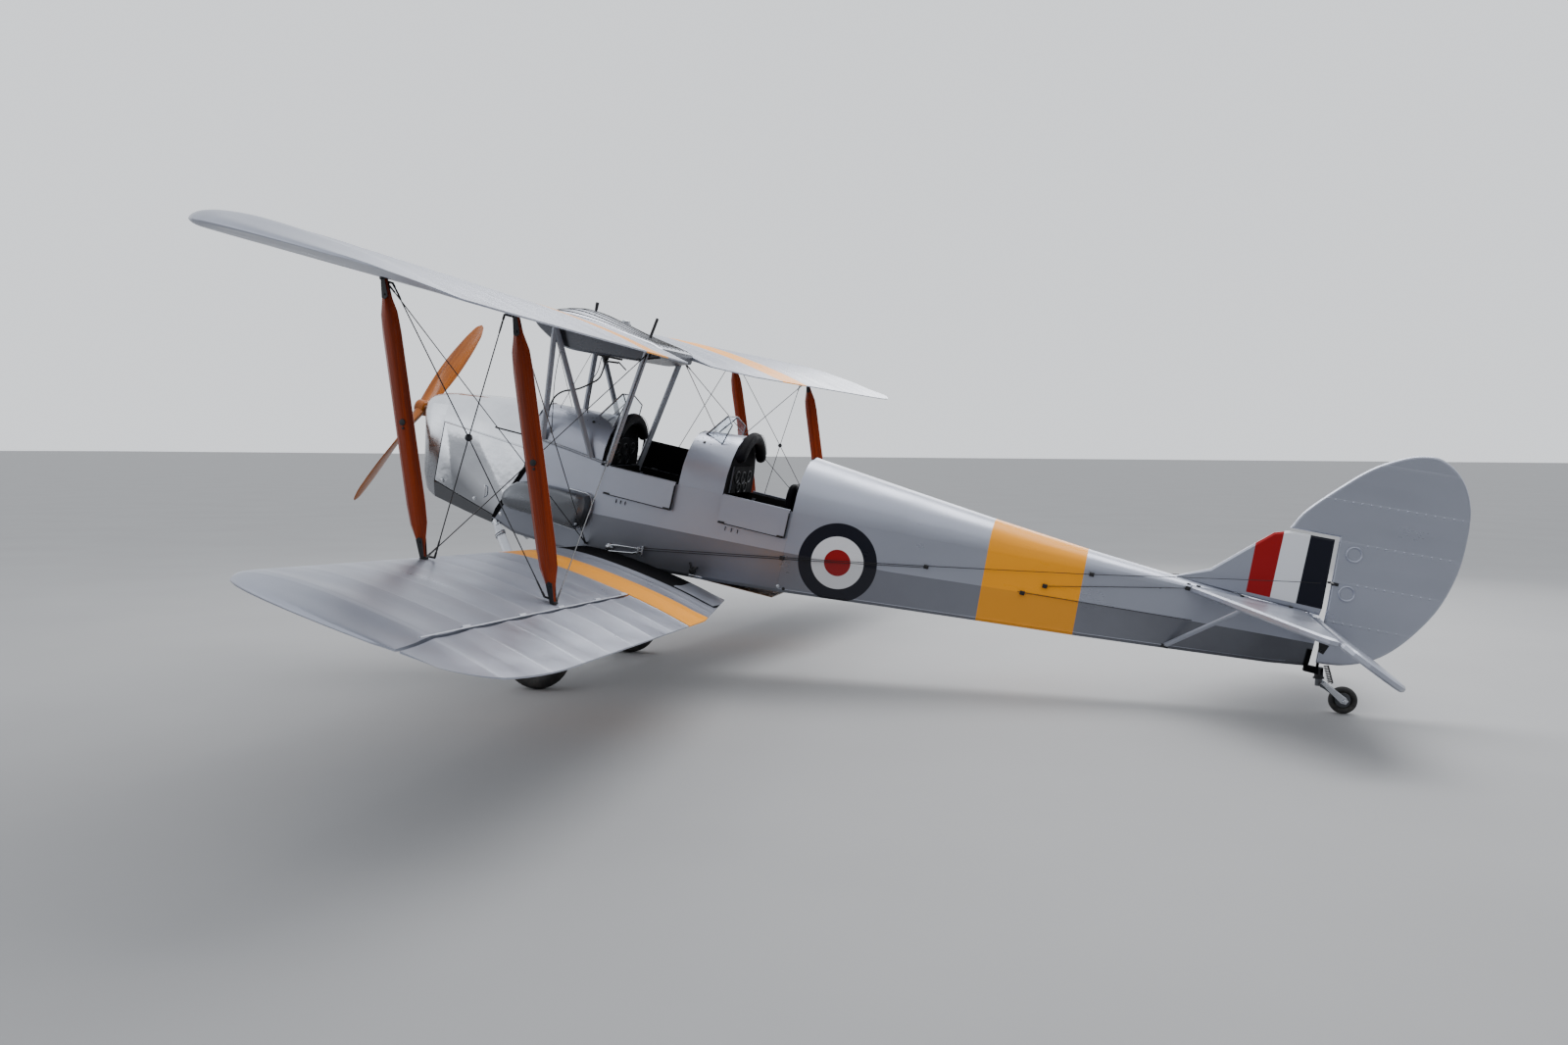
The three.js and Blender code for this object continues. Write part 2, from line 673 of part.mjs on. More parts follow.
// Slanted seams of the cowl sides: heights at the nose seam and at the rear.
const HINGE_SEAM = { front: -36, rear: -84 };
const CHIN_SEAM = { front: -485, rear: -683 };

// The hinge rod along each side's upper seam, from [aft, left, up] to the same.
const COWL_HINGE = { from: [358, 241.5, -40], to: [1068, 295.5, -86.8], radius: 6 };

function seamUp(seam, aft) {
  const t = (aft - COWL_NOSE) / (COWL_REAR - COWL_NOSE);
  return seam.front + (seam.rear - seam.front) * t;
}

// Everything behind the cowl's rear edge, which follows the fuselage at a gap.
function behindCowl(gap) {
  const edge = SLANT.map(([aft, up]) => [aft - gap, up]);
  return sidePrism([[FIREWALL - gap, 500], ...edge, [1400, -900], [1400, 500]], -500, 500);
}

function hingeRod(radius, sides, longer = 0) {
  const [aft0, left0, up0] = COWL_HINGE.from;
  const [aft1, left1, up1] = COWL_HINGE.to;
  return bar(at(aft0 - longer, left0, up0), at(aft1 + longer, left1, up1), radius, sides);
}

function addCowl(frontBody) {
  const outer = loft(COWL.map((row) => cowlRing(row, 0)));
  const innerRows = COWL.slice(1).map((row) => ({ ...row }));
  innerRows[0].aft += 10;
  innerRows[innerRows.length - 1].aft += 30;
  const inner = loft(innerRows.map((row) => cowlRing(row, COWL_WALL)));
  const around = bar(at(40, 0, 0), at(150, 0, 0), 70, 20);
  const intake = block(60, 330, 36, 150, -330, -96);
  const shell = cut(outer, inner, around, intake);
  const nose = COWL_NOSE;
  const end = COWL_REAR + 60;
  const g = MOVING_GAP;
  add("cowl_nose", "metal", common(shell, block(0, nose - TOUCH, -500, 500, -900, 500)));
  const above = sidePrism([
    [nose, seamUp(HINGE_SEAM, nose)], [end, seamUp(HINGE_SEAM, end)], [end, 500], [nose, 500]], -500, 500);
  const sides = (sign) => sidePrism([
    [nose + g, seamUp(HINGE_SEAM, nose + g) - g], [end, seamUp(HINGE_SEAM, end) - g],
    [end, seamUp(CHIN_SEAM, end) + g], [nose + g, seamUp(CHIN_SEAM, nose + g) + g]],
  sign > 0 ? 120 : -500, sign > 0 ? 500 : -120);
  const below = sidePrism([
    [nose, seamUp(CHIN_SEAM, nose)], [end, seamUp(CHIN_SEAM, end)], [end, -900], [nose, -900]], -500, 500);
  const clear = hingeRod(COWL_HINGE.radius + 0.5, 16, 1);
  const top = cut(common(shell, above), behindCowl(TOUCH), clear, mirror(clear));
  add("cowl_top", "metal", top);
  const panel = union(cut(common(shell, sides(1)), behindCowl(12)), hingeRod(COWL_HINGE.radius, 8));
  add("cowl_side_left", "metal", panel);
  add("cowl_side_right", "metal", mirror(panel));
  add("cowl_chin", "metal", cut(common(shell, below), behindCowl(12), exhaustPipe(8)));
  const engine = rest(union(
    block(180, 400, -110, 110, -150, 60),
    block(320, FIREWALL + 20, -110, 110, -420, 60),
    block(330, 1000, -80, 80, -520, 120)), frontBody, 0, 0, 1);
  add("engine_block", "dark", engine);
  add("exhaust_pipe", "metal", rest(rest(exhaustPipe(0), engine, -1, 0), engine, 0, -1));
}

// The exhaust's tail pipe, coming down out of the chin on the right side.
const EXHAUST = { from: [620, -100, -470], elbow: [800, -180, -690], end: [985, -185, -800], radius: 28 };

function exhaustPipe(grow) {
  const { from, elbow, end, radius } = EXHAUST;
  const bend = new THREE.SphereGeometry(radius + grow, 14, 10);
  bend.translate(-elbow[0], elbow[1], elbow[2]);
  return union(bar(at(...from), at(...elbow), radius + grow, 14), bend, bar(at(...elbow), at(...end), radius + grow, 14));
}

// Propeller, standing with one blade up to the right and one down to the left.
const PROP = { radius: 965, lean: 43.9, hubRadius: 62, hubFrom: -38, hubTo: 62 };

function propeller() {
  const rows = [
    // share of radius, chord, thickness, blade angle in degrees
    { share: 0.05, chord: 96, thick: 84, angle: 60 },
    { share: 0.14, chord: 112, thick: 62, angle: 48 },
    { share: 0.28, chord: 138, thick: 42, angle: 36 },
    { share: 0.48, chord: 158, thick: 28, angle: 26 },
    { share: 0.68, chord: 150, thick: 19, angle: 20 },
    { share: 0.86, chord: 118, thick: 13, angle: 16 },
    { share: 0.95, chord: 84, thick: 10, angle: 14 },
    { share: 1.0, chord: 34, thick: 7, angle: 13 },
  ];
  const shape = [[-0.5, 0], [-0.3, 0.38], [0, 0.5], [0.3, 0.36], [0.5, 0.05], [0.3, -0.3], [0, -0.4], [-0.3, -0.3]];
  const blade = loft(rows.map((row) => {
    const a = THREE.MathUtils.degToRad(row.angle);
    return shape.map(([c, t]) => new THREE.Vector3(
      c * row.chord * Math.sin(a) + t * row.thick * Math.cos(a),
      c * row.chord * Math.cos(a) - t * row.thick * Math.sin(a),
      row.share * PROP.radius));
  }));
  const other = blade.clone();
  other.rotateX(Math.PI);
  const hub = bar(at(PROP.hubTo - 20, 0, 0), at(PROP.hubFrom, 0, 0), PROP.hubRadius, 20);
  const shaft = bar(at(180 - TOUCH, 0, 0), at(PROP.hubTo - 30, 0, 0), 26, 12);
  const body = union(blade, other, hub, shaft);
  body.rotateX(THREE.MathUtils.degToRad(PROP.lean));
  return body;
}

// Cabane struts under the wing roots, on a rail along the foot of the decking.
const CABANE = {
  frontTop: at(1158, 370, 822), rearTop: at(1866, 342, 776),
  frontFoot: at(1193, 307, 0), middleFoot: at(1598, 330, -42), rearFoot: at(1708, 294, -110),
  rail: [[1150, 1], [1430, 1], [1694, -4]],
};

function cabane() {
  const rows = [[0, 1, 1], [1, 1, 1]];
  const rail = CABANE.rail.map(([aft, lift]) => {
    const h = hullAt(aft);
    return at(aft, h.half + 10, h.longeron + 28 + lift);
  });
  const step = rail[2];
  return union(
    strut(CABANE.frontFoot, CABANE.frontTop, 46, 26, rows),
    strut(CABANE.middleFoot, CABANE.frontTop, 42, 24, rows),
    strut(CABANE.rearFoot, CABANE.rearTop, 46, 26, rows),
    bar(rail[0], rail[1], 10), bar(rail[1], rail[2], 10), bar(rail[1], at(1432, 327, rail[1].z), 10),
    bar(step, at(1712, 298, step.z), 9));
}

// Fuel tank between the upper wings, domed on top between its sides.
const TANK_HALF = 321.7;
const TANK = [
  // distance aft, underside, top at the sides, extra height at the middle
  { aft: 955, low: 836, high: 848, dome: 0 },
  { aft: 975, low: 806, high: 872, dome: 8 },
  { aft: 1010, low: 778, high: 890, dome: 22 },
  { aft: 1100, low: 726, high: 911, dome: 46 },
  { aft: 1190, low: 690, high: 915, dome: 62 },
  { aft: 1277, low: 672, high: 913, dome: 64 },
  { aft: 1400, low: 674, high: 905, dome: 52 },
  { aft: 1533, low: 682, high: 890, dome: 34 },
  { aft: 1690, low: 688, high: 868, dome: 12 },
  { aft: 1800, low: 694, high: 850, dome: 2 },
  { aft: 1900, low: 722, high: 832, dome: 0 },
  { aft: 1960, low: 738, high: 808, dome: 0 },
];

// Posts on the tank and their radii: the contents gauge, the slanted vent and a small peg.
const TANK_POSTS = [
  { foot: [1272, 0, 960], head: [1272, 0, 1046], radius: 9 },
  { foot: [1730, 0, 845], head: [1678, 0, 962], radius: 9 },
  { foot: [1875, -308, 800], head: [1875, -308, 838], radius: 6 },
];

function tank() {
  const lanes = [-1, -0.8, -0.5, 0, 0.5, 0.8, 1];
  const body = loft(lanes.map((lane) => [
    ...TANK.map((row) => at(row.aft, lane * TANK_HALF, row.high + row.dome * (1 - lane * lane))),
    ...[...TANK].reverse().map((row) => at(row.aft, lane * TANK_HALF, row.low)),
  ]));
  return union(body, ...TANK_POSTS.map((post) => bar(at(...post.foot), at(...post.head), post.radius, 10)));
}

// Tail surfaces, as flat boards with a bevelled rim.
function board(outline, up, thick, place) {
  const shape = new THREE.Shape(outline.map(([a, b]) => new THREE.Vector2(-a, b)));
  const g = new THREE.ExtrudeGeometry(shape, {
    depth: thick * 0.5, bevelEnabled: true, bevelThickness: thick * 0.25, bevelSize: thick * 0.3,
    bevelOffset: -thick * 0.3, bevelSegments: 1, curveSegments: 1, steps: 1,
  });
  g.translate(0, 0, -thick * 0.25);
  return place(g);
}

const upright = (g) => g.rotateX(Math.PI / 2);
const FIN = [[5620, 48], [5833, 147], [6005, 319], [6151, 462], [6236, 492], [6508, 500], [6536, 62], [6530, 12]];
const RUDDER = [[6236, 512], [6303, 644], [6472, 840], [6611, 977], [6759, 1072], [6880, 1116], [6990, 1114],
  [7102, 1043], [7180, 930], [7222, 790], [7238, 560], [7222, 380], [7171, 193], [7075, 11], [6975, -120],
  [6870, -205], [6740, -262], [6625, -282], [6580, -285], [6562, 60], [6532, 520]];

const TAIL = { up: 2, droop: 25 };
const TAILPLANE = [[5713, 30], [5740, 150], [6010, 620], [6225, 1010], [6350, 1230], [6400, 1290], [6444, 1300],
  [6444, 20]];
const ELEVATOR = [[6486, 100], [6486, 1312], [6450, 1330], [6452, 1400], [6500, 1470], [6590, 1500],
  [6700, 1480], [6800, 1390], [6860, 1240], [6890, 1000], [6890, 640], [6875, 420], [6820, 250], [6740, 165], [6600, 118]];

function addTail(stern) {
  add("fin", "dope", cut(rest(board(FIN, 0, 40, upright), stern, 0, 1), elevatorSlot()));
  add("rudder", "dope", board(RUDDER, 0, 40, upright));
  const flat = (g) => g.translate(0, 0, TAIL.up);
  const rows = [[0, 1, 1], [1, 1, 1]];
  const half = union(
    board(TAILPLANE, 0, 44, flat),
    strut(at(5663, 92, -400), at(6040, 560, TAIL.up), 30, 16, rows));
  addPair("tailplane", "dope", half, (piece, side) => rest(rest(piece, stern, side, 0), stern, side, 1));
  const one = board(ELEVATOR, 0, 40, flat);
  const two = mirror(one);
  const axis = ELEVATOR_AXIS;
  const tube = bar(at(axis.aft, -130, axis.up), at(axis.aft, 130, axis.up), axis.tube, 10);
  const arms = block(axis.aft, axis.aft + 40, 100, 128, axis.up - 12, axis.up + 12);
  const both = union(one, two, tube, arms, mirror(arms));
  const hinge = new THREE.Matrix4().makeTranslation(-axis.aft, 0, axis.up)
    .multiply(new THREE.Matrix4().makeRotationY(-THREE.MathUtils.degToRad(TAIL.droop)))
    .multiply(new THREE.Matrix4().makeTranslation(axis.aft, 0, -axis.up));
  both.applyMatrix4(hinge);
  add("elevators", "dope", both);
}

// Tail wheel under the stern, in a fork that swivels about an upright pin.
const TAIL_WHEEL = { radius: 86, width: 56, rim: 46, groundAft: 6549, hubHalf: 24 };

function addTailWheel() {
  const w = TAIL_WHEEL;
  const place = (aft, left, up) => fromGround(aft, left, up);
  const crown = place(SWIVEL.groundAft, 0, SWIVEL.low - TOUCH);
  const side = (sign) => union(
    bar(place(SWIVEL.groundAft + 16, sign * 40, 176), place(w.groundAft, sign * 40, w.radius), 10, 8),
    bar(place(w.groundAft, sign * 54, w.radius), place(w.groundAft, sign * (w.hubHalf + TOUCH), w.radius), 12, 10));
  const yoke = union(
    bar(crown, place(SWIVEL.groundAft, 0, 170), 22, 12),
    bar(place(SWIVEL.groundAft + 14, -50, 178), place(SWIVEL.groundAft + 14, 50, 178), 13, 8));
  add("tail_fork", "metal", union(yoke, side(1), side(-1)));
  const axle = place(w.groundAft, 0, w.radius);
  const tyre = tyreGeometry(w.radius, w.width, w.rim, 24, 8);
  tyre.translate(axle.x, axle.y, axle.z);
  add("tail_tyre", "tyre", tyre);
  const hub = turned([[0, -w.hubHalf], [16, -w.hubHalf], [18, -12], [w.rim - TOUCH, -10], [w.rim - TOUCH, 10],
    [18, 12], [16, w.hubHalf], [0, w.hubHalf]], 24);
  hub.translate(axle.x, axle.y, axle.z);
  add("tail_hub", "metal", hub);
}

// A body turned about the wheel axis from [radius, left] pairs.
function turned(profile, around) {
  return new THREE.LatheGeometry(profile.map(([r, left]) => new THREE.Vector2(r, left)), around);
}

// A tyre as a closed ring turned about its axle, across the middle plane.
function tyreGeometry(radius, width, rim, around, sides) {
  const mid = (radius + rim) / 2;
  const deep = (radius - rim) / 2;
  const points = [];
  for (let i = 0; i <= sides; i += 1) {
    const t = (2 * Math.PI * i) / sides;
    points.push(new THREE.Vector2(mid + deep * Math.cos(t), (width / 2) * Math.sin(t)));
  }
  return new THREE.LatheGeometry(points, around);
}

// Main wheels and their legs.
const WHEEL = { groundAft: 1370, left: 800, radius: 240, width: 170, hubHalf: 66 };
const AXLE = fromGround(WHEEL.groundAft, WHEEL.left, WHEEL.radius);
WHEEL.aft = -AXLE.x;
WHEEL.up = AXLE.z;

// Each side has a faired leg to the front corner of the fuselage, and an axle strut and
// a radius rod to fittings under the belly.
const GEAR = { legTop: [918, 268, -664], inboard: 130, fittings: [1490, 1800], bellyUp: -740 };

function addGear(frontBody, tub) {
  const tyre = tyreGeometry(WHEEL.radius, WHEEL.width, 120, 32, 10);
  tyre.translate(-WHEEL.aft, WHEEL.left, WHEEL.up);
  addPair("tyre", "tyre", tyre);
  const disc = turned([[0, -WHEEL.hubHalf], [34, -WHEEL.hubHalf], [38, -46], [108, -48], [130, -49.6],
    [120 - TOUCH, 0], [130, 49.6], [108, 48], [38, 46], [34, WHEEL.hubHalf], [0, WHEEL.hubHalf]], 32);
  disc.translate(-WHEEL.aft, WHEEL.left, WHEEL.up);
  addPair("wheel", "metal", disc);
  const inner = WHEEL.left - GEAR.inboard;
  const hub = at(WHEEL.aft, inner, WHEEL.up);
  const faired = [[0, 0.6, 0.9], [0.1, 1, 1], [0.9, 1, 1], [1, 0.5, 0.8]];
  const even = [[0, 1, 1], [1, 1, 1]];
  const leg = union(
    strut(hub, at(...GEAR.legTop), 74, 44, faired),
    bar(at(WHEEL.aft, WHEEL.left - WHEEL.hubHalf - TOUCH, WHEEL.up), at(WHEEL.aft, inner - 30, WHEEL.up), 24, 12),
    ...GEAR.fittings.map((aft) => strut(hub, at(aft, 50, GEAR.bellyUp - 4), 46, 26, even)));
  const fittings = GEAR.fittings.map((aft) => block(aft - 34, aft + 34, -74, 74, GEAR.bellyUp - 26, GEAR.bellyUp + 16));
  const frame = union(leg, mirror(leg), ...fittings);
  add("undercarriage", "metal", rest(rest(frame, frontBody, 0, -1), tub, 0, -1));
}

// Rigging wires of one side.
const WIRE = 3.2;

function wire(from, to, radius = WIRE) {
  return bar(from, to, radius, 6);
}

function addRigging(neighbours) {
  const root = at(1686, 350, -640);
  const anchor = at(1884, 380, 744);
  const inner = STRUT_LEFT - 32;
  const frontHead = wingUnder(UPPER, UPPER.frontSpar, inner, 14);
  const rearHead = wingUnder(UPPER, UPPER.rearSpar, inner, 14);
  const frontFoot = wingTop(LOWER, LOWER.frontSpar, inner, 14);
  const rearFoot = wingTop(LOWER, LOWER.rearSpar, inner, 14);
  const crossing = at(2055, STRUT_LEFT, 165);
  const ends = [
    wingTop(LOWER, LOWER.frontSpar + 56, STRUT_LEFT, 16), wingTop(LOWER, LOWER.rearSpar - 56, STRUT_LEFT, 16),
    wingUnder(UPPER, UPPER.frontSpar + 56, STRUT_LEFT, 16), wingUnder(UPPER, UPPER.rearSpar - 56, STRUT_LEFT, 16)];
  const acorn = new THREE.SphereGeometry(20, 12, 8);
  acorn.translate(crossing.x, crossing.y, crossing.z);
  const lugs = [[frontFoot, ends[0]], [rearFoot, ends[1]], [frontHead, ends[2]], [rearHead, ends[3]]];
  const wires = union(
    acorn, ...ends.map((end) => wire(end, crossing)), ...lugs.map(([from, to]) => bar(from, to, 6)),
    wire(root, frontHead), wire(root, rearHead), bar(at(1686, 318, -646), at(1686, 358, -638), 9),
    wire(anchor, frontFoot), wire(anchor, rearFoot), bar(at(1884, 380, 736), at(1884, 380, 800), 7));
  addPair("rigging", "steel", wires, (piece, sign) =>
    neighbours.reduce((left, [body, side, up]) => rest(left, sign > 0 ? body : mirror(body), side * sign, up), piece));
}

// Oil tank on the left side behind the cowl.
const OIL_TANK = {
  outline: [[998, -460], [1008, -415], [1045, -366], [1100, -328], [1165, -309], [1400, -304], [1600, -303],
    [1640, -312], [1662, -345], [1666, -400], [1656, -470], [1638, -520], [1610, -546], [1575, -555],
    [1450, -545], [1250, -531], [1064, -527], [1015, -505]],
  middle: [1340, -425],
  layers: [[300, 1], [388, 1], [414, 0.965], [430, 0.9], [437, 0.8]],
};

function oilTank(frontBody) {
  const [aft, up] = OIL_TANK.middle;
  const body = loft(OIL_TANK.layers.map(([left, scale]) => OIL_TANK.outline.map(([a, u]) => {
    const squeeze = 1 - (1 - scale) * 2.2;
    return at(aft + (a - aft) * scale, left, up + (u - up) * squeeze);
  })));
  return rest(body, frontBody, 1, 0);
}

const front = frontFuselage();
const tub = cockpitTub();
const middle = midDecking();
const stern = rearFuselage();
const tankBody = tank();
const frontStrut = interplaneStrut("frontSpar");
const rearStrut = interplaneStrut("rearSpar");
const upperWing = wingBody(UPPER);
const lowerWing = wingBody(LOWER);

addWings(front, tub);
addPair("strut_front", "wood", frontStrut);
addPair("strut_rear", "wood", rearStrut);
add("front_fuselage", "dope", front);
add("cockpit_tub", "dope", tub);
add("mid_decking", "dope", middle);
add("pad_front", "leather", coamingRoll(DECK_END));
add("pad_rear", "leather", coamingRoll(REAR_COCKPIT.from));
add("rear_fuselage", "dope", stern);
addDoors();
addCockpits(tub);
add("windscreen_front", "glass", rest(windscreen(1495, 240, 420, 195), front, 0, 1));
add("windscreen_rear", "glass", rest(windscreen(2312, 262, 420, 180), middle, 0, 1));
addCowl(front);
add("propeller", "propeller", propeller());
addPair("cabane", "paint", cabane(), (piece, side) =>
  rest(rest(rest(piece, side > 0 ? upperWing : mirror(upperWing), 0, -1), front, side, 1), tub, side, 1));
add("fuel_tank", "metal", tankBody);
addTail(stern);
addTailWheel();
addGear(front, tub);
addRigging([[tub, 1, 0], [front, 1, 0], [upperWing, 0, -1], [lowerWing, 0, 1]]);
add("oil_tank", "metal", oilTank(front));

export default part;
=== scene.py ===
"""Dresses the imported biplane: finishes, markings, soft pieces, rigging details, floor, light and camera.

Sizes are in metres. Most places are given in the airframe's own frame as (aft, left, up) from the
propeller hub, because the aircraft stands nose up; place() turns them into the row frame.
"""

import json
import math

import bmesh
import bpy
import numpy as np
from mathutils import Matrix, Vector


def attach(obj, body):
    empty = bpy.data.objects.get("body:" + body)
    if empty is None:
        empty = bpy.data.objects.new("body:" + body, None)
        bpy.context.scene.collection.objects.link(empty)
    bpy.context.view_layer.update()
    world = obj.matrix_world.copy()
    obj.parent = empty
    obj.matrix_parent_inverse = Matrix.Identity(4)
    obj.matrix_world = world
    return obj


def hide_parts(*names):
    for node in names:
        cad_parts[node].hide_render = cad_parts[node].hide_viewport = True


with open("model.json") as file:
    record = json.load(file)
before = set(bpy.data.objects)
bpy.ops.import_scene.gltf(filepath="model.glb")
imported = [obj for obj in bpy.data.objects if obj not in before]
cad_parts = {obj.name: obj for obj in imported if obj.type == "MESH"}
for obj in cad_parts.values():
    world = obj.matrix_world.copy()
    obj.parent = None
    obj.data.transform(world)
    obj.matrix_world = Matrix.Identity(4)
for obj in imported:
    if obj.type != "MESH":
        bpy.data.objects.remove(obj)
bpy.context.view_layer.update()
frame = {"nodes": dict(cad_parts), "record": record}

# The airframe's frame in the row frame.
NOSE_UP = math.radians(11.81)
HUB = (3.540, 1.941)
COS, SIN = math.cos(NOSE_UP), math.sin(NOSE_UP)


def place(aft, left, up):
    """Airframe coordinates to the row frame: a turn by the nose-up angle about the hub, as whole arrays."""
    aft, left, up = np.broadcast_arrays(*(np.asarray(v, float) for v in (aft, left, up)))
    return np.stack([HUB[0] - aft * COS - up * SIN, left, HUB[1] - aft * SIN + up * COS], axis=-1)


def direction(aft, left, up):
    """A direction of the airframe in the row frame."""
    return place(aft, left, up) - place(0, 0, 0)


def spots(rows, side=1):
    """Rows of (aft, left, up) in the row frame, on the right side where side is -1."""
    return place(*(np.asarray(rows, float) * (1, side, 1)).T)


def mirrored(points, side):
    """Points in the row frame, moved to the right side where side is -1."""
    return points * np.array([1, side, 1])


HANDS = ((1, "left"), (-1, "right"))


# Meshes from arrays.
def weld(mesh):
    """Merges doubles, then turns every face outwards."""
    loose = bmesh.new()
    loose.from_mesh(mesh)
    bmesh.ops.remove_doubles(loose, verts=loose.verts, dist=1e-5)
    bmesh.ops.recalc_face_normals(loose, faces=loose.faces)
    loose.to_mesh(mesh)
    loose.free()


def add_mesh(name, points, faces, look, body="airframe", smooth=True):
    """A mesh object at the origin from points (n, 3) in the row frame and rows of corner indices. The look
    is its material and the slot that it stands for."""
    material, slot = look
    mesh = bpy.data.meshes.new(name)
    corners = [list(map(int, face)) for face in faces]
    mesh.from_pydata(np.asarray(points, float).reshape(-1, 3).tolist(), [], corners)
    weld(mesh)
    mesh.polygons.foreach_set("use_smooth", np.full(len(mesh.polygons), smooth))
    mesh.materials.append(material)
    piece = bpy.data.objects.new(name, mesh)
    bpy.context.scene.collection.objects.link(piece)
    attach(piece, body)
    if smooth:
        piece.modifiers.new("smooth", "NODES").node_group = SMOOTH
    return piece


def grid_faces(rows, columns, wrap_rows=False, wrap_columns=False):
    """Quads of a rows x columns grid of points: corner k of quad (i, j) is at (i or i+1, j or j+1)."""
    last_row = rows if wrap_rows else rows - 1
    last_column = columns if wrap_columns else columns - 1
    i, j = np.meshgrid(np.arange(last_row), np.arange(last_column), indexing="ij")
    i, j = i.ravel(), j.ravel()
    i1, j1 = (i + 1) % rows, (j + 1) % columns
    return np.stack([i * columns + j, i * columns + j1, i1 * columns + j1, i1 * columns + j], axis=1)


def capped(rings):
    """Rings of points (n, m, 3) as a skin, with a fan to the middle of each end ring."""
    rows, columns = rings.shape[:2]
    middles = [rings[0].mean(axis=0)[None], rings[-1].mean(axis=0)[None]]
    k = np.arange(columns)
    after = (k + 1) % columns
    start, count = (rows - 1) * columns, rows * columns
    low = np.stack([np.full(columns, count), after, k], axis=1)
    high = np.stack([np.full(columns, count + 1), start + k, start + after], axis=1)
    body = grid_faces(rows, columns, wrap_columns=True)
    return np.concatenate([rings.reshape(-1, 3), *middles]), [*body.tolist(), *low.tolist(), *high.tolist()]


def unit(vectors):
    """Vectors scaled to length one."""
    return vectors / np.linalg.norm(vectors, axis=-1, keepdims=True)


def rings_about(path, tangent, radius, sides):
    """Rings about a path: p(s, t) = path(s) + r(s) (cos t side + sin t cross). side is the tangent crossed
    with the row frame's flattest axis, and cross is side crossed with the tangent."""
    tangent = unit(tangent)
    flattest = np.eye(3)[np.argmin(np.abs(tangent).max(axis=0))]
    side = unit(np.cross(tangent, flattest))
    cross = np.cross(side, tangent)
    t = np.linspace(0, 2 * np.pi, sides, endpoint=False)[None, :, None]
    return path[:, None] + radius * (np.cos(t) * side[:, None] + np.sin(t) * cross[:, None])


def tube_data(path, radius, sides=8):
    """Rings about an open path, with a radius for all or for each, closed by a fan at each end."""
    path = np.asarray(path, float)
    radius = np.broadcast_to(np.asarray(radius, float), (len(path),))[:, None, None]
    return capped(rings_about(path, np.gradient(path, axis=0), radius, sides))


def closed_tube(path, radius, sides=8):
    """Rings about a closed path, joined end to end."""
    tangent = np.roll(path, -1, axis=0) - np.roll(path, 1, axis=0)
    rings = rings_about(path, tangent, radius, sides)
    return rings.reshape(-1, 3), grid_faces(len(path), sides, True, True).tolist()


def joined(parts):
    """Several (points, faces) as one: each part's indices move up by the points before it."""
    points, faces, start = [], [], 0
    for part_points, part_faces in parts:
        points.append(part_points)
        faces.extend([[corner + start for corner in face] for face in part_faces])
        start += len(part_points)
    return np.concatenate(points), faces


def tubes(name, paths, radius, look, body="airframe", sides=8):
    """Tubes along several paths as one piece."""
    return add_mesh(name, *joined([tube_data(path, radius, sides) for path in paths]), look, body)


def lathe_data(profile, origin, axis, around=24):
    """A profile of (along, radius) turned about an axis, with u and w across it:
    p = origin + along axis + radius (cos t u + sin t w)."""
    axis = unit(np.asarray(axis, float))
    u = unit(np.cross(axis, np.eye(3)[np.argmin(np.abs(axis))]))
    w = np.cross(axis, u)
    t = np.linspace(0, 2 * np.pi, around, endpoint=False)[None, :, None]
    along, radius = np.asarray(profile, float).T[:, :, None, None]
    points = np.asarray(origin, float) + along * axis + radius * (np.cos(t) * u + np.sin(t) * w)
    faces = grid_faces(len(profile), around, wrap_columns=True)
    return points.reshape(-1, 3), faces[:, ::-1].tolist()


def lathe_ring(profile, origin, axis, around):
    """A closed profile of (along, radius) turned about an axis into a ring."""
    points, _ = lathe_data(profile, origin, axis, around)
    return points, grid_faces(len(profile), around, True, True).tolist()


# The radius at which a turned profile starts and ends beside its axis.
CORE = 0.0001


def stud_data(centre, out, radius, high):
    """A low round head: a profile turned about the way it stands out."""
    profile = [(0, CORE), (0, radius), (high * 0.6, radius * 0.85), (high, radius * 0.35), (high, CORE)]
    return lathe_data(profile, centre, out, 10)


def box_data(low, high):
    """A box between two corners given as (aft, left, up)."""
    corners = np.array([[(low, high)[i][0], (low, high)[j][1], (low, high)[k][2]]
                        for i in (0, 1) for j in (0, 1) for k in (0, 1)])
    faces = [[0, 1, 3, 2], [4, 6, 7, 5], [0, 4, 5, 1], [2, 3, 7, 6], [0, 2, 6, 4], [1, 5, 7, 3]]
    return place(*corners.T), faces


def slab_data(outline, offset):
    """A flat outline (n, 3) in the row frame, carried along an offset to give it thickness."""
    outline = np.asarray(outline, float)
    n = len(outline)
    k = np.arange(n)
    sides = np.stack([k, (k + 1) % n, (k + 1) % n + n, k + n], axis=1).tolist()
    return np.concatenate([outline, outline + offset]), [k[::-1].tolist(), (k + n).tolist(), *sides]


def curve_through(x, knots, values):
    """A smooth curve through (knots, values): cubic pieces whose slopes are the knots' mean slopes."""
    slopes = np.gradient(values, knots)
    i = np.clip(np.searchsorted(knots, x) - 1, 0, len(knots) - 2)
    width = knots[i + 1] - knots[i]
    t = (x - knots[i]) / width
    rise = (3 * t**2 - 2 * t**3) * (values[i + 1] - values[i])
    bend = (t**3 - 2 * t**2 + t) * width * slopes[i] + (t**3 - t**2) * width * slopes[i + 1]
    return values[i] + rise + bend


def dense(path, per=6):
    """A smooth line through points, with so many steps between them."""
    path = np.asarray(path, float)
    knots = np.arange(len(path), dtype=float)
    at_knots = np.linspace(0, len(path) - 1, (len(path) - 1) * per + 1)
    return np.stack([curve_through(at_knots, knots, path[:, k]) for k in range(path.shape[1])], axis=-1)


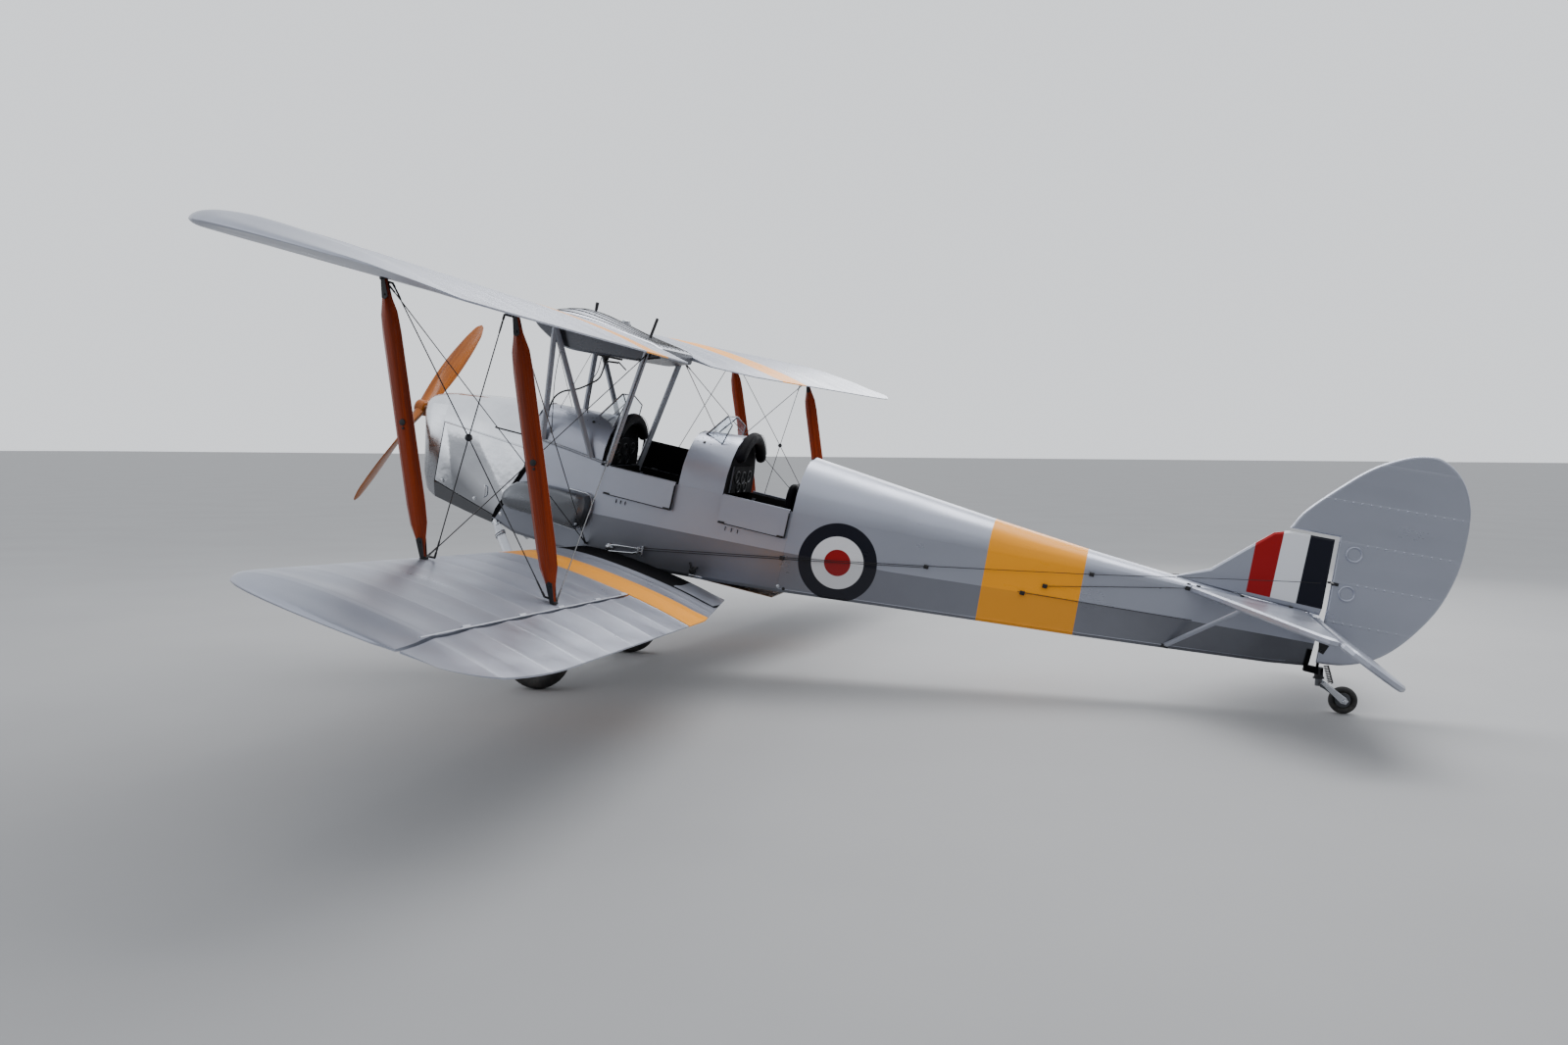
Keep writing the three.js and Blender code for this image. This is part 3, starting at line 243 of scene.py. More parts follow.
def smooth_once(piece):
    """One step of subdivision, the same in the view and in the render."""
    again = piece.modifiers.new("round", "SUBSURF")
    again.levels = again.render_levels = 1


def rounded(piece, width):
    """Bevels a piece's sharp edges."""
    bevel = piece.modifiers.new("round", "BEVEL")
    bevel.width = width
    bevel.segments = 2
    bevel.limit_method = "ANGLE"


# Node graphs for the materials.
class Graph:
    """A material's node tree, with short ways to add nodes that return their output sockets."""

    SOCKETS = {
        "colour": "Base Color", "metal": "Metallic", "rough": "Roughness", "coat": "Coat Weight",
        "coat_rough": "Coat Roughness", "specular": "Specular IOR Level", "ior": "IOR",
        "clear": "Transmission Weight"}

    def __init__(self, name):
        self.material = bpy.data.materials.new(name)
        self.material.use_nodes = True
        self.tree = self.material.node_tree
        self.shader = self.tree.nodes["Principled BSDF"]
        self.place = self.add("ShaderNodeTexCoord").outputs["Object"]

    def add(self, kind, **settings):
        """A node of a kind with its settings."""
        node = self.tree.nodes.new(kind)
        for key, value in settings.items():
            setattr(node, key, value)
        return node

    def feed(self, socket, value):
        """Links a socket to another one, or sets its plain value."""
        if isinstance(value, bpy.types.NodeSocket):
            self.tree.links.new(value, socket)
        else:
            socket.default_value = value

    def math(self, operation, a, b=0.0, clamp=False):
        """A Math node on one or two values."""
        node = self.add("ShaderNodeMath", operation=operation, use_clamp=clamp)
        for socket, value in zip(node.inputs, (a, b)):
            self.feed(socket, value)
        return node.outputs[0]

    def times(self, a, b):
        """a times b."""
        return self.math("MULTIPLY", a, b)

    def plus(self, a, b, clamp=False):
        """a plus b."""
        return self.math("ADD", a, b, clamp)

    def minus(self, a, b, clamp=False):
        """a less b."""
        return self.math("SUBTRACT", a, b, clamp)

    def most(self, a, b):
        """The larger of a and b."""
        return self.math("MAXIMUM", a, b)

    def along(self, direction, offset=0.0):
        """The distance along a direction in the row frame: a dot product plus an offset."""
        node = self.add("ShaderNodeVectorMath", operation="DOT_PRODUCT")
        self.feed(node.inputs[0], self.place)
        node.inputs[1].default_value = direction
        return self.plus(node.outputs["Value"], offset)

    def aft(self):
        """The airframe's aft."""
        return self.along((-COS, 0, -SIN), COS * HUB[0] + SIN * HUB[1])

    def left(self):
        """The airframe's left."""
        return self.along((0, 1, 0))

    def up(self):
        """The airframe's up."""
        return self.along((-SIN, 0, COS), SIN * HUB[0] - COS * HUB[1])

    def combine(self, x, y, z):
        """A vector of three values."""
        node = self.add("ShaderNodeCombineXYZ")
        for socket, value in zip(node.inputs, (x, y, z)):
            self.feed(socket, value)
        return node.outputs[0]

    def noise(self, scale, detail=4.0, rough=0.5, vector=None):
        """Cloudy noise in space, or over a vector."""
        node = self.add("ShaderNodeTexNoise")
        self.feed(node.inputs["Vector"], self.place if vector is None else vector)
        node.inputs["Scale"].default_value = scale
        node.inputs["Detail"].default_value = detail
        node.inputs["Roughness"].default_value = rough
        return node.outputs["Fac"]

    def ramp(self, value, low, high, to_low=0.0, to_high=1.0):
        """value carried from low..high to to_low..to_high, clamped."""
        node = self.add("ShaderNodeMapRange")
        names = ("Value", "From Min", "From Max", "To Min", "To Max")
        for key, number in zip(names, (value, low, high, to_low, to_high)):
            self.feed(node.inputs[key], number)
        return node.outputs["Result"]

    def band(self, value, low, high, soft=0.0008):
        """1 between low and high, 0 outside."""
        rise = self.ramp(value, low - soft, low + soft)
        fall = self.ramp(value, high - soft, high + soft)
        return self.minus(rise, fall, clamp=True)

    def mix(self, share, a, b):
        """Colour a where the share is 0, colour b where it is 1."""
        node = self.add("ShaderNodeMix", data_type="RGBA")
        self.feed(node.inputs["Factor"], share)
        colours = [s for s in node.inputs if s.type == "RGBA"]
        self.feed(colours[0], a)
        self.feed(colours[1], b)
        return next(s for s in node.outputs if s.type == "RGBA")

    def facing(self, way, normal="Normal"):
        """How far a face looks along a direction: the dot product with its shaded or its true normal."""
        node = self.add("ShaderNodeVectorMath", operation="DOT_PRODUCT")
        self.feed(node.inputs[0], self.add("ShaderNodeNewGeometry").outputs[normal])
        node.inputs[1].default_value = way
        return node.outputs["Value"]

    def bump(self, height, distance, strength=1.0):
        """Fine relief from a height."""
        node = self.add("ShaderNodeBump")
        self.feed(node.inputs["Height"], height)
        node.inputs["Distance"].default_value = distance
        node.inputs["Strength"].default_value = strength
        self.tree.links.new(node.outputs["Normal"], self.shader.inputs["Normal"])

    def set(self, **values):
        """Feeds the shader's sockets by their short names."""
        for key, value in values.items():
            self.feed(self.shader.inputs[self.SOCKETS[key]], value)


def colour(red, green, blue):
    """An opaque colour in linear light."""
    return (red, green, blue, 1.0)


DOPE = colour(0.39, 0.41, 0.48)
ORANGE = colour(0.92, 0.35, 0.010)
RED = colour(0.30, 0.003, 0.005)
WHITE = colour(0.74, 0.75, 0.78)
NAVY = colour(0.004, 0.005, 0.012)
BLACK = colour(0.006, 0.006, 0.007)


def doped(g, base, height=None, paint=None, matt=None):
    """Silver dope on cloth: aluminium pigment, cloudy gloss, fine weave. Paint covers the pigment where its
    mask is 1, and the walkway grit, matt, takes the gloss away."""
    cloud = g.noise(2.3, 5.0, 0.55)
    stretched = g.combine(g.times(g.aft(), 1.6), g.times(g.left(), 7.0), g.times(g.up(), 7.0))
    streak = g.noise(1.0, 4.0, 0.6, stretched)
    fine = g.noise(900.0, 2.0)
    shade = g.mix(g.times(g.ramp(cloud, 0.35, 0.7), 0.22), base, colour(0.30, 0.32, 0.36))
    metal, rough, specular, coarse = 0.72, g.ramp(g.plus(cloud, streak), 0.75, 1.3, 0.27, 0.43), 0.25, 0.05
    if paint is not None:
        covered = paint if matt is None else g.most(paint, matt)
        shade = g.mix(covered, shade, base)
        metal = g.times(g.minus(1.0, covered), metal)
    if matt is not None:
        rough = g.ramp(matt, 0.0, 1.0, rough, 0.75)
        specular = g.ramp(matt, 0.0, 1.0, specular, 0.02)
        coarse = g.ramp(matt, 0.0, 1.0, coarse, 0.5)
    g.set(colour=shade, metal=metal, rough=rough, specular=specular)
    weave = g.times(fine, coarse)
    g.bump(weave if height is None else g.plus(weave, height), 0.002)
    return g.material


def rib_tapes(g, across, spacing, start, width=0.028):
    """Raised tape lines over the ribs: 1 on a tape, from the distance to the nearest rib station."""
    turn = g.math("DIVIDE", g.minus(across, start), spacing)
    near = g.math("ABSOLUTE", g.minus(g.math("FRACT", turn), 0.5))
    edge = 0.5 - 0.5 * width / spacing
    return g.ramp(near, edge - 0.004, edge + 0.004), near


# Wing stripes, walkway and ribs, by distance from the middle of the aircraft.
STRIPE = (1.290, 1.792)
WALKWAY = 0.850
RIB = {"spacing": 0.345, "start": 0.072}


def wing_finish(name, walkway):
    """Dope with a painted stripe and pale tapes over the ribs. A walkway is black grit on top at the root,
    with a border behind it and along the rear edge."""
    g = Graph(name)
    side = g.math("ABSOLUTE", g.left())
    stripe = g.band(side, *STRIPE)
    tape, _ = rib_tapes(g, side, RIB["spacing"], RIB["start"])
    base = g.mix(g.times(tape, 0.22), DOPE, colour(0.66, 0.69, 0.76))
    base = g.mix(stripe, base, ORANGE)
    matt = None
    if walkway:
        sweep = math.tan(math.radians(4.6))
        back = g.minus(g.aft(), g.times(side, sweep))
        back = g.plus(back, 2.838 * sweep - 1.790)
        step = g.times(g.ramp(side, WALKWAY + 0.001, WALKWAY - 0.001), g.band(back, 0.03, 0.930))
        border = g.times(g.band(side, WALKWAY - 0.045, WALKWAY), g.band(back, 0.5, 1.245))
        rear_edge = g.times(g.band(back, 1.222, 1.245), g.band(side, 0.34, WALKWAY))
        on_top = g.ramp(g.facing((0, 0, 1)), 0.1, 0.3)
        matt = g.times(g.most(g.most(step, border), rear_edge), on_top)
        base = g.mix(matt, base, BLACK)
    return doped(g, base, g.times(tape, 0.45), stripe, matt)


BAND = {"start": 4.455, "end": 5.085, "slant": 0.045, "level": -0.35}
ROUNDEL = {"aft": 3.490, "up": -0.356, "rings": ((0.268, NAVY), (0.178, WHITE), (0.090, RED))}
STERN = 6.50


def roundel_reach(g):
    """The distance from the roundel's middle: the root of aft squared plus up squared."""
    across = g.minus(g.aft(), ROUNDEL["aft"])
    rise = g.minus(g.up(), ROUNDEL["up"])
    return g.math("SQRT", g.plus(g.times(across, across), g.times(rise, rise)))


def black_places(g):
    """1 on the end faces and rims of the cockpits, on the stern, and on the strip along the slanted front
    edge behind the cowl."""
    aft, up = g.aft(), g.up()
    ends = g.ramp(g.math("ABSOLUTE", g.facing((-COS, 0, -SIN))), 0.90, 0.95)
    inside = g.most(g.band(aft, 1.670, 3.130), g.ramp(aft, STERN, STERN + 0.01))
    rims = g.most(g.band(aft, 1.690, 2.290), g.band(aft, 2.600, 3.130))
    level = g.ramp(g.facing((-SIN, 0, COS)), 0.90, 0.95)
    dark = g.most(g.times(ends, inside), g.times(level, rims))
    edge = g.minus(aft, g.plus(g.times(up, 0.4828), 1.090 + 0.216 * 0.4828))
    strip = g.times(g.band(edge, -0.05, 0.034), g.band(up, -0.640, -0.216))
    post = g.times(g.ramp(aft, STERN, STERN + 0.01), g.ramp(up, -0.20, -0.21))
    return g.most(g.most(dark, strip), post)


def painted_underside_shade(g, paint):
    """How much painted shade darkens the panels below the crease, which look downwards: more so towards the
    stern, and less where they are painted."""
    shade = g.ramp(g.facing((-SIN, 0, COS), "True Normal"), -0.012, 0.002, 0.55, 0.0)
    shade = g.times(shade, g.ramp(g.aft(), 4.6, 6.3, 1.0, 1.5))
    return g.times(shade, g.ramp(paint, 0.0, 1.0, 1.0, 0.35))


def fuselage_finish(name, dark_inside=False):
    """Dope with the band and the roundel, painted shade below the crease, and black at the openings. A shut
    door is black on its inner side too."""
    g = Graph(name)
    lean = g.times(g.minus(g.up(), BAND["level"]), BAND["slant"])
    stripe = g.band(g.plus(g.aft(), lean), BAND["start"], BAND["end"])
    base = g.mix(stripe, DOPE, ORANGE)
    reach = roundel_reach(g)
    for radius, tint in ROUNDEL["rings"]:
        base = g.mix(g.ramp(reach, radius + 0.0008, radius - 0.0008), base, tint)
    paint = g.most(stripe, g.ramp(reach, 0.2688, 0.2672))
    dark = black_places(g)
    if dark_inside:
        dark = g.most(dark, g.ramp(g.facing((0, 1, 0)), -0.5, -0.4))
    # Painted shade: panels below the crease that look downwards are mixed towards near black.
    base = g.mix(painted_underside_shade(g, paint), base, colour(0.05, 0.05, 0.055))
    return doped(g, g.mix(dark, base, BLACK), None, paint, dark)


FIN_STRIPES = [(6.067, -0.046, RED), (6.216, -0.030, WHITE), (6.373, -0.032, NAVY)]


def fin_finish():
    """Dope with three upright stripes. Each starts along a slightly slanted line, given by its place aft
    0.2 up and its slant, and reaches back under the next one."""
    g = Graph("fin_dope")
    aft, height = g.aft(), g.minus(g.up(), 0.2)
    tall = g.band(height, -0.145, 0.311)
    base, painted = DOPE, 0.0
    for start, slant, paint in FIN_STRIPES:
        upright = g.minus(aft, g.times(height, slant))
        behind = g.times(g.ramp(upright, start - 0.0008, start + 0.0008), tall)
        base = g.mix(behind, base, paint)
        painted = g.most(painted, behind)
    return doped(g, base, None, painted)


# How far the rudder's ribs rise for each metre aft.
RUDDER_LEAN = 0.04


def tail_finish(name, spacing, start, along_up):
    """Dope with thin tapes and soft waves between the ribs, counted upwards or outwards."""
    g = Graph(name)
    across = g.math("ABSOLUTE", g.left())
    if along_up:
        across = g.minus(g.up(), g.times(g.minus(g.aft(), 6.6), RUDDER_LEAN))
    tape, near = rib_tapes(g, across, spacing, start, 0.014)
    base = g.mix(g.times(tape, 0.05), DOPE, colour(0.66, 0.69, 0.76))
    return doped(g, base, g.plus(g.times(tape, 0.25), g.times(near, 2.0)))


def polished_finish(name, smooth, satin, light=1.0):
    """Sheet metal with a brushed grain and soft dents. Below a line that falls towards the rear, where it
    curves under, a painted reflection of the dark ground mixes it towards dark grey. light below one
    dims all of its colours, also as a painted dark reflection."""

    def tint(red, green, blue):
        return colour(red * light, green * light, blue * light)

    g = Graph(name)
    line = g.plus(g.up(), g.times(g.aft(), 0.60))
    # Painted reflection of the dark ground, below the line that falls towards the rear.
    low = g.ramp(line, -0.10, 0.03, 1.0, 0.0)
    brush = g.noise(40.0, 6.0, 0.6, g.combine(g.times(g.aft(), 0.2), g.left(), g.up()))
    smear = g.noise(5.0, 3.0)
    sheet = g.mix(g.ramp(smear, 0.35, 0.75), tint(0.78, 0.80, 0.84), tint(0.64, 0.66, 0.70))
    g.set(colour=g.mix(g.times(low, 0.75), sheet, tint(0.20, 0.205, 0.22)), metal=1.0,
          rough=g.ramp(brush, 0.2, 0.8, smooth, satin))
    g.bump(g.plus(g.times(smear, 0.9), g.times(brush, 0.01)), 0.002)
    return g.material


def wood_finish(name, light, dark, grain_way, rings, shine):
    """Varnished wood: long grain along a direction, from noise squeezed across it."""
    g = Graph(name)
    d = Vector(grain_way).normalized()
    u = d.orthogonal().normalized()
    w = d.cross(u)
    squeezed = g.combine(
        g.times(g.along(tuple(d)), 0.9), g.times(g.along(tuple(u)), rings), g.times(g.along(tuple(w)), rings))
    grain = g.noise(1.0, 5.0, 0.6, squeezed)
    fine = g.noise(7.0, 3.0, 0.5, squeezed)
    veins = g.times(g.ramp(fine, 0.4, 0.7), 0.22)
    share = g.plus(g.ramp(grain, 0.36, 0.72, 0.0, 0.8), veins, clamp=True)
    g.set(colour=g.mix(share, light, dark), rough=g.ramp(fine, 0.3, 0.7, 0.20, 0.32), specular=0.25,
          coat=shine, coat_rough=0.06)
    g.bump(fine, 0.0002, 0.4)
    return g.material


def paint_finish(name, base, rough, metal=0.0, speck=0.12, grain=0.4, specular=0.5):
    """Paint or plated metal with cloudy wear and a fine grain."""
    g = Graph(name)
    cloud = g.noise(7.0, 5.0, 0.6)
    worn = tuple(c * 0.72 for c in base[:3]) + (1.0,)
    g.set(colour=g.mix(g.times(g.ramp(cloud, 0.4, 0.75), speck * 4), base, worn), metal=metal,
          rough=g.ramp(cloud, 0.3, 0.7, rough * 0.85, rough * 1.2), specular=specular)
    g.bump(g.noise(260.0, 2.0), 0.0006, grain)
    return g.material


def tank_finish():
    """Smooth silver paint, with painted shade where it looks sideways or down."""
    g = Graph("tank_paint")
    cloud = g.noise(7.0, 5.0, 0.6)
    # Painted shade on faces that look sideways or down.
    under = g.ramp(g.facing((0, 0, 1)), 0.60, 0.0)
    g.set(colour=g.mix(under, colour(0.46, 0.48, 0.54), colour(0.12, 0.125, 0.14)),
          metal=0.7, rough=g.ramp(cloud, 0.3, 0.7, 0.24, 0.34), specular=0.3)
    return g.material


def leather_finish():
    """Black leather: small cells of grain and soft creases."""
    g = Graph("black_leather")
    cells = g.add("ShaderNodeTexVoronoi", feature="DISTANCE_TO_EDGE")
    g.feed(cells.inputs["Vector"], g.place)
    cells.inputs["Scale"].default_value = 420.0
    grain = g.ramp(cells.outputs["Distance"], 0.0, 0.25)
    crease = g.noise(14.0, 6.0, 0.6)
    hide = g.mix(g.ramp(crease, 0.35, 0.7), colour(0.003, 0.003, 0.004), colour(0.007, 0.007, 0.010))
    g.set(colour=hide, rough=g.ramp(crease, 0.3, 0.7, 0.40, 0.58), specular=0.035)
    g.bump(g.plus(g.times(grain, 0.25), g.times(crease, 0.8)), 0.0016)
    return g.material


def rubber_finish():
    """Tyre rubber with pale dust in patches."""
    g = Graph("tyre_rubber")
    dust = g.ramp(g.noise(11.0, 6.0, 0.65), 0.45, 0.75)
    g.set(colour=g.mix(dust, colour(0.014, 0.014, 0.014), colour(0.075, 0.068, 0.060)), rough=0.72)
    g.bump(g.noise(190.0, 3.0), 0.0008, 0.6)
    return g.material


def glass_finish():
    """Clear glass with faint smears."""
    g = Graph("screen_glass")
    smear = g.noise(6.0, 4.0)
    g.set(colour=g.mix(smear, colour(0.96, 0.98, 1.0), colour(0.90, 0.94, 0.97)),
          rough=g.ramp(smear, 0.4, 0.8, 0.02, 0.06), clear=1.0, ior=1.45)
    return g.material


FINISH = {
    "polished_metal": polished_finish("polished_sheet", 0.06, 0.16),
    "varnished_wood": wood_finish("strut_varnish", colour(0.31, 0.034, 0.001), colour(0.090, 0.008, 0.001),
                                  (0.132, 0.0, 0.991), 42.0, 0.10),
    "varnished_propeller": wood_finish("propeller_varnish", colour(0.42, 0.120, 0.012),
                                       colour(0.15, 0.034, 0.004), (-0.147, -0.693, 0.705), 30.0, 0.15),
    "grey_paint": paint_finish("cabane_paint", colour(0.27, 0.285, 0.325), 0.28, 0.45),
    "silver_tank": tank_finish(),
    "gear_metal": paint_finish("gear_paint", colour(0.55, 0.57, 0.62), 0.30, 0.6),
    "wheel_metal": paint_finish("wheel_paint", colour(0.55, 0.57, 0.62), 0.30, 0.6),
    "wire_steel": paint_finish("wire_steel", colour(0.035, 0.036, 0.040), 0.30, 0.7),
    "tyre_rubber": rubber_finish(),
    "black_leather": leather_finish(),
    "seat_metal": paint_finish("seat_metal", colour(0.10, 0.11, 0.10), 0.45, 0.4),
    "screen_glass": glass_finish(),
    "engine_dark": paint_finish("engine_dark", colour(0.05, 0.05, 0.055), 0.5, 0.6),
}
FUSELAGE = fuselage_finish("fuselage_dope")
UPPER_WING = wing_finish("upper_wing_dope", False)
LOWER_WING = wing_finish("lower_wing_dope", True)
FIN = fin_finish()
RUDDER = tail_finish("rudder_dope", 0.2530, -0.0090, True)
TAILPLANE = tail_finish("tailplane_dope", 0.215, 0.02, False)
INTERIOR = paint_finish("cockpit_black", colour(0.006, 0.006, 0.006), 0.7, specular=0.02)
CRACKLE_BLACK = paint_finish("crackle_black", colour(0.006, 0.006, 0.007), 0.6, specular=0.03)
LIGHT_TAPE = paint_finish("light_tape", colour(0.52, 0.54, 0.60), 0.42)
FRAME_METAL = paint_finish("bright_metal", colour(0.62, 0.64, 0.68), 0.24, 0.95)
SCREEN_FRAME = paint_finish("screen_frame", colour(0.16, 0.165, 0.18), 0.30, 0.8)
BLACK_STEEL = paint_finish("black_steel", colour(0.016, 0.016, 0.018), 0.38, 0.35)
DARK_PLATE = paint_finish("dark_plate", colour(0.10, 0.105, 0.115), 0.34, 0.8)
FLOOR_WOOD = wood_finish("floor_ply", colour(0.20, 0.11, 0.05), colour(0.11, 0.055, 0.025),
                         (1.0, 0.0, 0.0), 18.0, 0.2)

DOPED = {
    "upper_wing_left": UPPER_WING, "upper_wing_right": UPPER_WING,
    "lower_wing_left": LOWER_WING, "lower_wing_right": LOWER_WING,
    "aileron_left": LOWER_WING, "aileron_right": LOWER_WING,
    "fin": FIN, "rudder": RUDDER, "door_front_right": fuselage_finish("shut_door_dope", True),
    "oil_tank": paint_finish("oil_tank_paint", colour(0.15, 0.157, 0.172), 0.28, 0.85, 0.04, 0.04),
    "cowl_nose": polished_finish("satin_sheet", 0.22, 0.34),
    # The chin's colours dimmed to 0.40 are a painted reflection of the dark ground.
    "cowl_chin": polished_finish("chin_sheet_painted_dark", 0.12, 0.22, 0.40),
    "tail_hub": DARK_PLATE, "tail_fork": DARK_PLATE,
    "tailplane_left": TAILPLANE, "tailplane_right": TAILPLANE, "elevators": TAILPLANE,
}

# Looks of the added pieces: a material, and the slot that it stands for.
STEEL = (BLACK_STEEL, "wire_steel")
BRIGHT = (FRAME_METAL, "polished_metal")
GEAR_BRIGHT = (FRAME_METAL, "gear_metal")
WHEEL_BRIGHT = (FRAME_METAL, "wheel_metal")
HIDE = (FINISH["black_leather"], "black_leather")
RUBBER = (FINISH["tyre_rubber"], "tyre_rubber")
TANK_PAINT = (FINISH["silver_tank"], "silver_tank")
PROPELLER_WOOD = (FINISH["varnished_propeller"], "varnished_propeller")
GLASS = (FINISH["screen_glass"], "screen_glass")
SCREEN_METAL = (SCREEN_FRAME, "polished_metal")
CRACKLE = (CRACKLE_BLACK, "engine_dark")
LINING = (INTERIOR, "seat_metal")
WING_CLOTH = {"upper": (UPPER_WING, "silver_dope"), "lower": (LOWER_WING, "silver_dope")}
RUDDER_CLOTH = (RUDDER, "silver_dope")


def smooth_by_angle(name, limit, crease=None):
    """A node group that welds a mesh and shades it smooth but for edges sharper than the limit. With a crease
    angle, edges low on the fuselage sides that are sharper than that stay sharp too."""
    group = bpy.data.node_groups.new(name, "GeometryNodeTree")
    group.interface.new_socket("Geometry", in_out="INPUT", socket_type="NodeSocketGeometry")
    group.interface.new_socket("Geometry", in_out="OUTPUT", socket_type="NodeSocketGeometry")
    nodes, links = group.nodes, group.links

    def compared(operation, value, bound):
        node = nodes.new("FunctionNodeCompare")
        node.operation = operation
        node.inputs[1].default_value = bound
        links.new(value, node.inputs[0])
        return node.outputs[0]

    def combined(operation, first, second):
        node = nodes.new("FunctionNodeBooleanMath")
        node.operation = operation
        links.new(first, node.inputs[0])
        links.new(second, node.inputs[1])
        return node.outputs[0]

    angle = nodes.new("GeometryNodeInputMeshEdgeAngle").outputs["Unsigned Angle"]
    chosen = compared("GREATER_THAN", angle, limit)
    if crease:
        height = nodes.new("ShaderNodeVectorMath")
        height.operation = "DOT_PRODUCT"
        height.inputs[1].default_value = (-SIN, 0, COS)
        links.new(nodes.new("GeometryNodeInputPosition").outputs[0], height.inputs[0])
        low = compared("LESS_THAN", height.outputs["Value"], COS * HUB[1] - SIN * HUB[0] - 0.15)
        fine = compared("GREATER_THAN", angle, crease)
        chosen = combined("OR", chosen, combined("AND", fine, low))

    start, end = nodes.new("NodeGroupInput"), nodes.new("NodeGroupOutput")
    merge = nodes.new("GeometryNodeMergeByDistance")
    merge.inputs["Distance"].default_value = 0.00002
    faces = nodes.new("GeometryNodeSetShadeSmooth")
    edges = nodes.new("GeometryNodeSetShadeSmooth")
    edges.domain = "EDGE"
    edges.inputs["Shade Smooth"].default_value = False
    links.new(start.outputs[0], merge.inputs["Geometry"])
    links.new(merge.outputs["Geometry"], faces.inputs["Geometry"])
    links.new(faces.outputs["Geometry"], edges.inputs["Geometry"])
    links.new(chosen, edges.inputs["Selection"])
    links.new(edges.outputs["Geometry"], end.inputs[0])
    return group


SMOOTH = smooth_by_angle("smooth_by_angle", math.radians(28))
CREASED = smooth_by_angle("smooth_with_crease", math.radians(28), math.radians(3.8))


def dress_nodes():
    """Every CAD node gets the finish of its slot, or its own doped finish, and smooth shading."""
    for part in frame["record"]["subparts"]:
        node = frame["nodes"][part["node"]]
        slot = part["material_slot"]
        finish = DOPED.get(part["node"], FINISH.get(slot, FUSELAGE))
        node.data.materials.clear()
        node.data.materials.append(finish)
        node.modifiers.new("smooth", "NODES").node_group = CREASED if finish is FUSELAGE else SMOOTH


dress_nodes()


# Sizes shared with the solids.
STRUT_LEFT = 2.838
SEMI_SPAN = 4.470
TIP_LEFT = 4.462
UPPER = {"chord": 1.330, "edge_aft": 1.275, "edge_up": 0.880,
         "root": 0.322, "root_cut": 0.165, "cut_left": 0.760,
         "sweep": math.tan(math.radians(7.26)), "rise": math.tan(math.radians(0.9)),
         "incidence": math.radians(4.28), "front_spar": 0.154, "rear_spar": 0.915}
LOWER = {"chord": 1.335, "edge_aft": 1.790, "edge_up": -0.550,
         "root": 0.312, "root_cut": 0.150, "cut_left": 1.420,
         "sweep": math.tan(math.radians(4.6)), "rise": math.tan(math.radians(3.9)),
         "incidence": math.radians(3.6), "front_spar": 0.134, "rear_spar": 0.880}
# Share of the chord, then the upper and the lower skin's height over the chord.
SECTION = np.array([
    [0.00, 0.000, 0.000], [0.012, 0.019, -0.009], [0.05, 0.040, -0.013], [0.12, 0.056, -0.010],
    [0.24, 0.067, -0.006], [0.38, 0.067, -0.003], [0.55, 0.059, -0.002], [0.72, 0.045, -0.002],
    [0.88, 0.024, -0.003], [1.00, 0.002, -0.004]])
AILERON = {"wing_end": 0.922, "nose": 0.942, "wing_left": 1.780, "inner_left": 1.800}
# Station, half width, bottom, crease, longeron and top of the fuselage.
HULL = np.array([
    [0.890, 0.280, -0.652, -0.440, -0.010, 0.245], [1.090, 0.292, -0.714, -0.440, -0.018, 0.258],
    [1.700, 0.325, -0.740, -0.424, -0.080, 0.276], [2.280, 0.332, -0.712, -0.404, -0.085, 0.302],
    [2.610, 0.332, -0.692, -0.390, -0.086, 0.330], [3.120, 0.326, -0.646, -0.368, -0.088, 0.292],
    [3.850, 0.262, -0.578, -0.334, -0.066, 0.214], [4.470, 0.206, -0.524, -0.285, -0.048, 0.150],
    [5.100, 0.150, -0.470, -0.240, -0.028, 0.093], [5.700, 0.098, -0.412, -0.205, -0.012, 0.052],
    [6.300, 0.046, -0.352, -0.175, -0.004, 0.016], [6.540, 0.026, -0.316, -0.165, -0.002, 0.008]])
BULGE = 0.012


def hull_at(aft):
    """Half width, bottom, crease, longeron and top of the fuselage at a station."""
    return [np.interp(aft, HULL[:, 0], HULL[:, column]) for column in range(1, 6)]


def half_width(aft):
    """Half the fuselage's width at a station."""
    return hull_at(aft)[0]


def deck_point(aft, turn, out=0.0):
    """The rounded decking: half width by cos t to the left, height by sin t to the 0.92 up, both moved
    out."""
    half, _, _, longeron, top = hull_at(aft)
    return place(aft, (half + out) * np.cos(turn), longeron + np.sin(turn)**0.92 * (top - longeron + out))


def side_point(aft, share, out=0.0):
    """The fuselage side: share 0 at the longeron, 1 at the crease, 2 at the bottom edge, moved out."""
    half, bottom, crease, longeron, _ = hull_at(aft)
    left = np.interp(share, [0, 1, 2], [0, BULGE, 0]) + half + out
    above = longeron + (crease - longeron) * share
    below = crease + (bottom + 0.022 - crease) * (share - 1)
    return place(aft, left, np.where(np.asarray(share) < 1, above, below))


# Wings: fine skins that sag between the ribs, in place of the faceted solids.
def chord_span(wing, left):
    """Where the outline starts and ends at a span station: elliptic corners at the tip, a cut at the root."""
    front = np.clip((left - (SEMI_SPAN - 0.300)) / 0.300, 0, 1)
    rear = np.clip((left - (SEMI_SPAN - 0.820)) / 0.820, 0, 1)
    root = np.clip((wing["cut_left"] - left) / (wing["cut_left"] - wing["root"]), 0, None)
    start = 1.060 * (1 - np.sqrt(1 - front**2))
    end = np.where(rear > 0, 1.060 + (wing["chord"] - 1.060) * np.sqrt(1 - rear**2), wing["chord"])
    return start, end - wing["root_cut"] * root


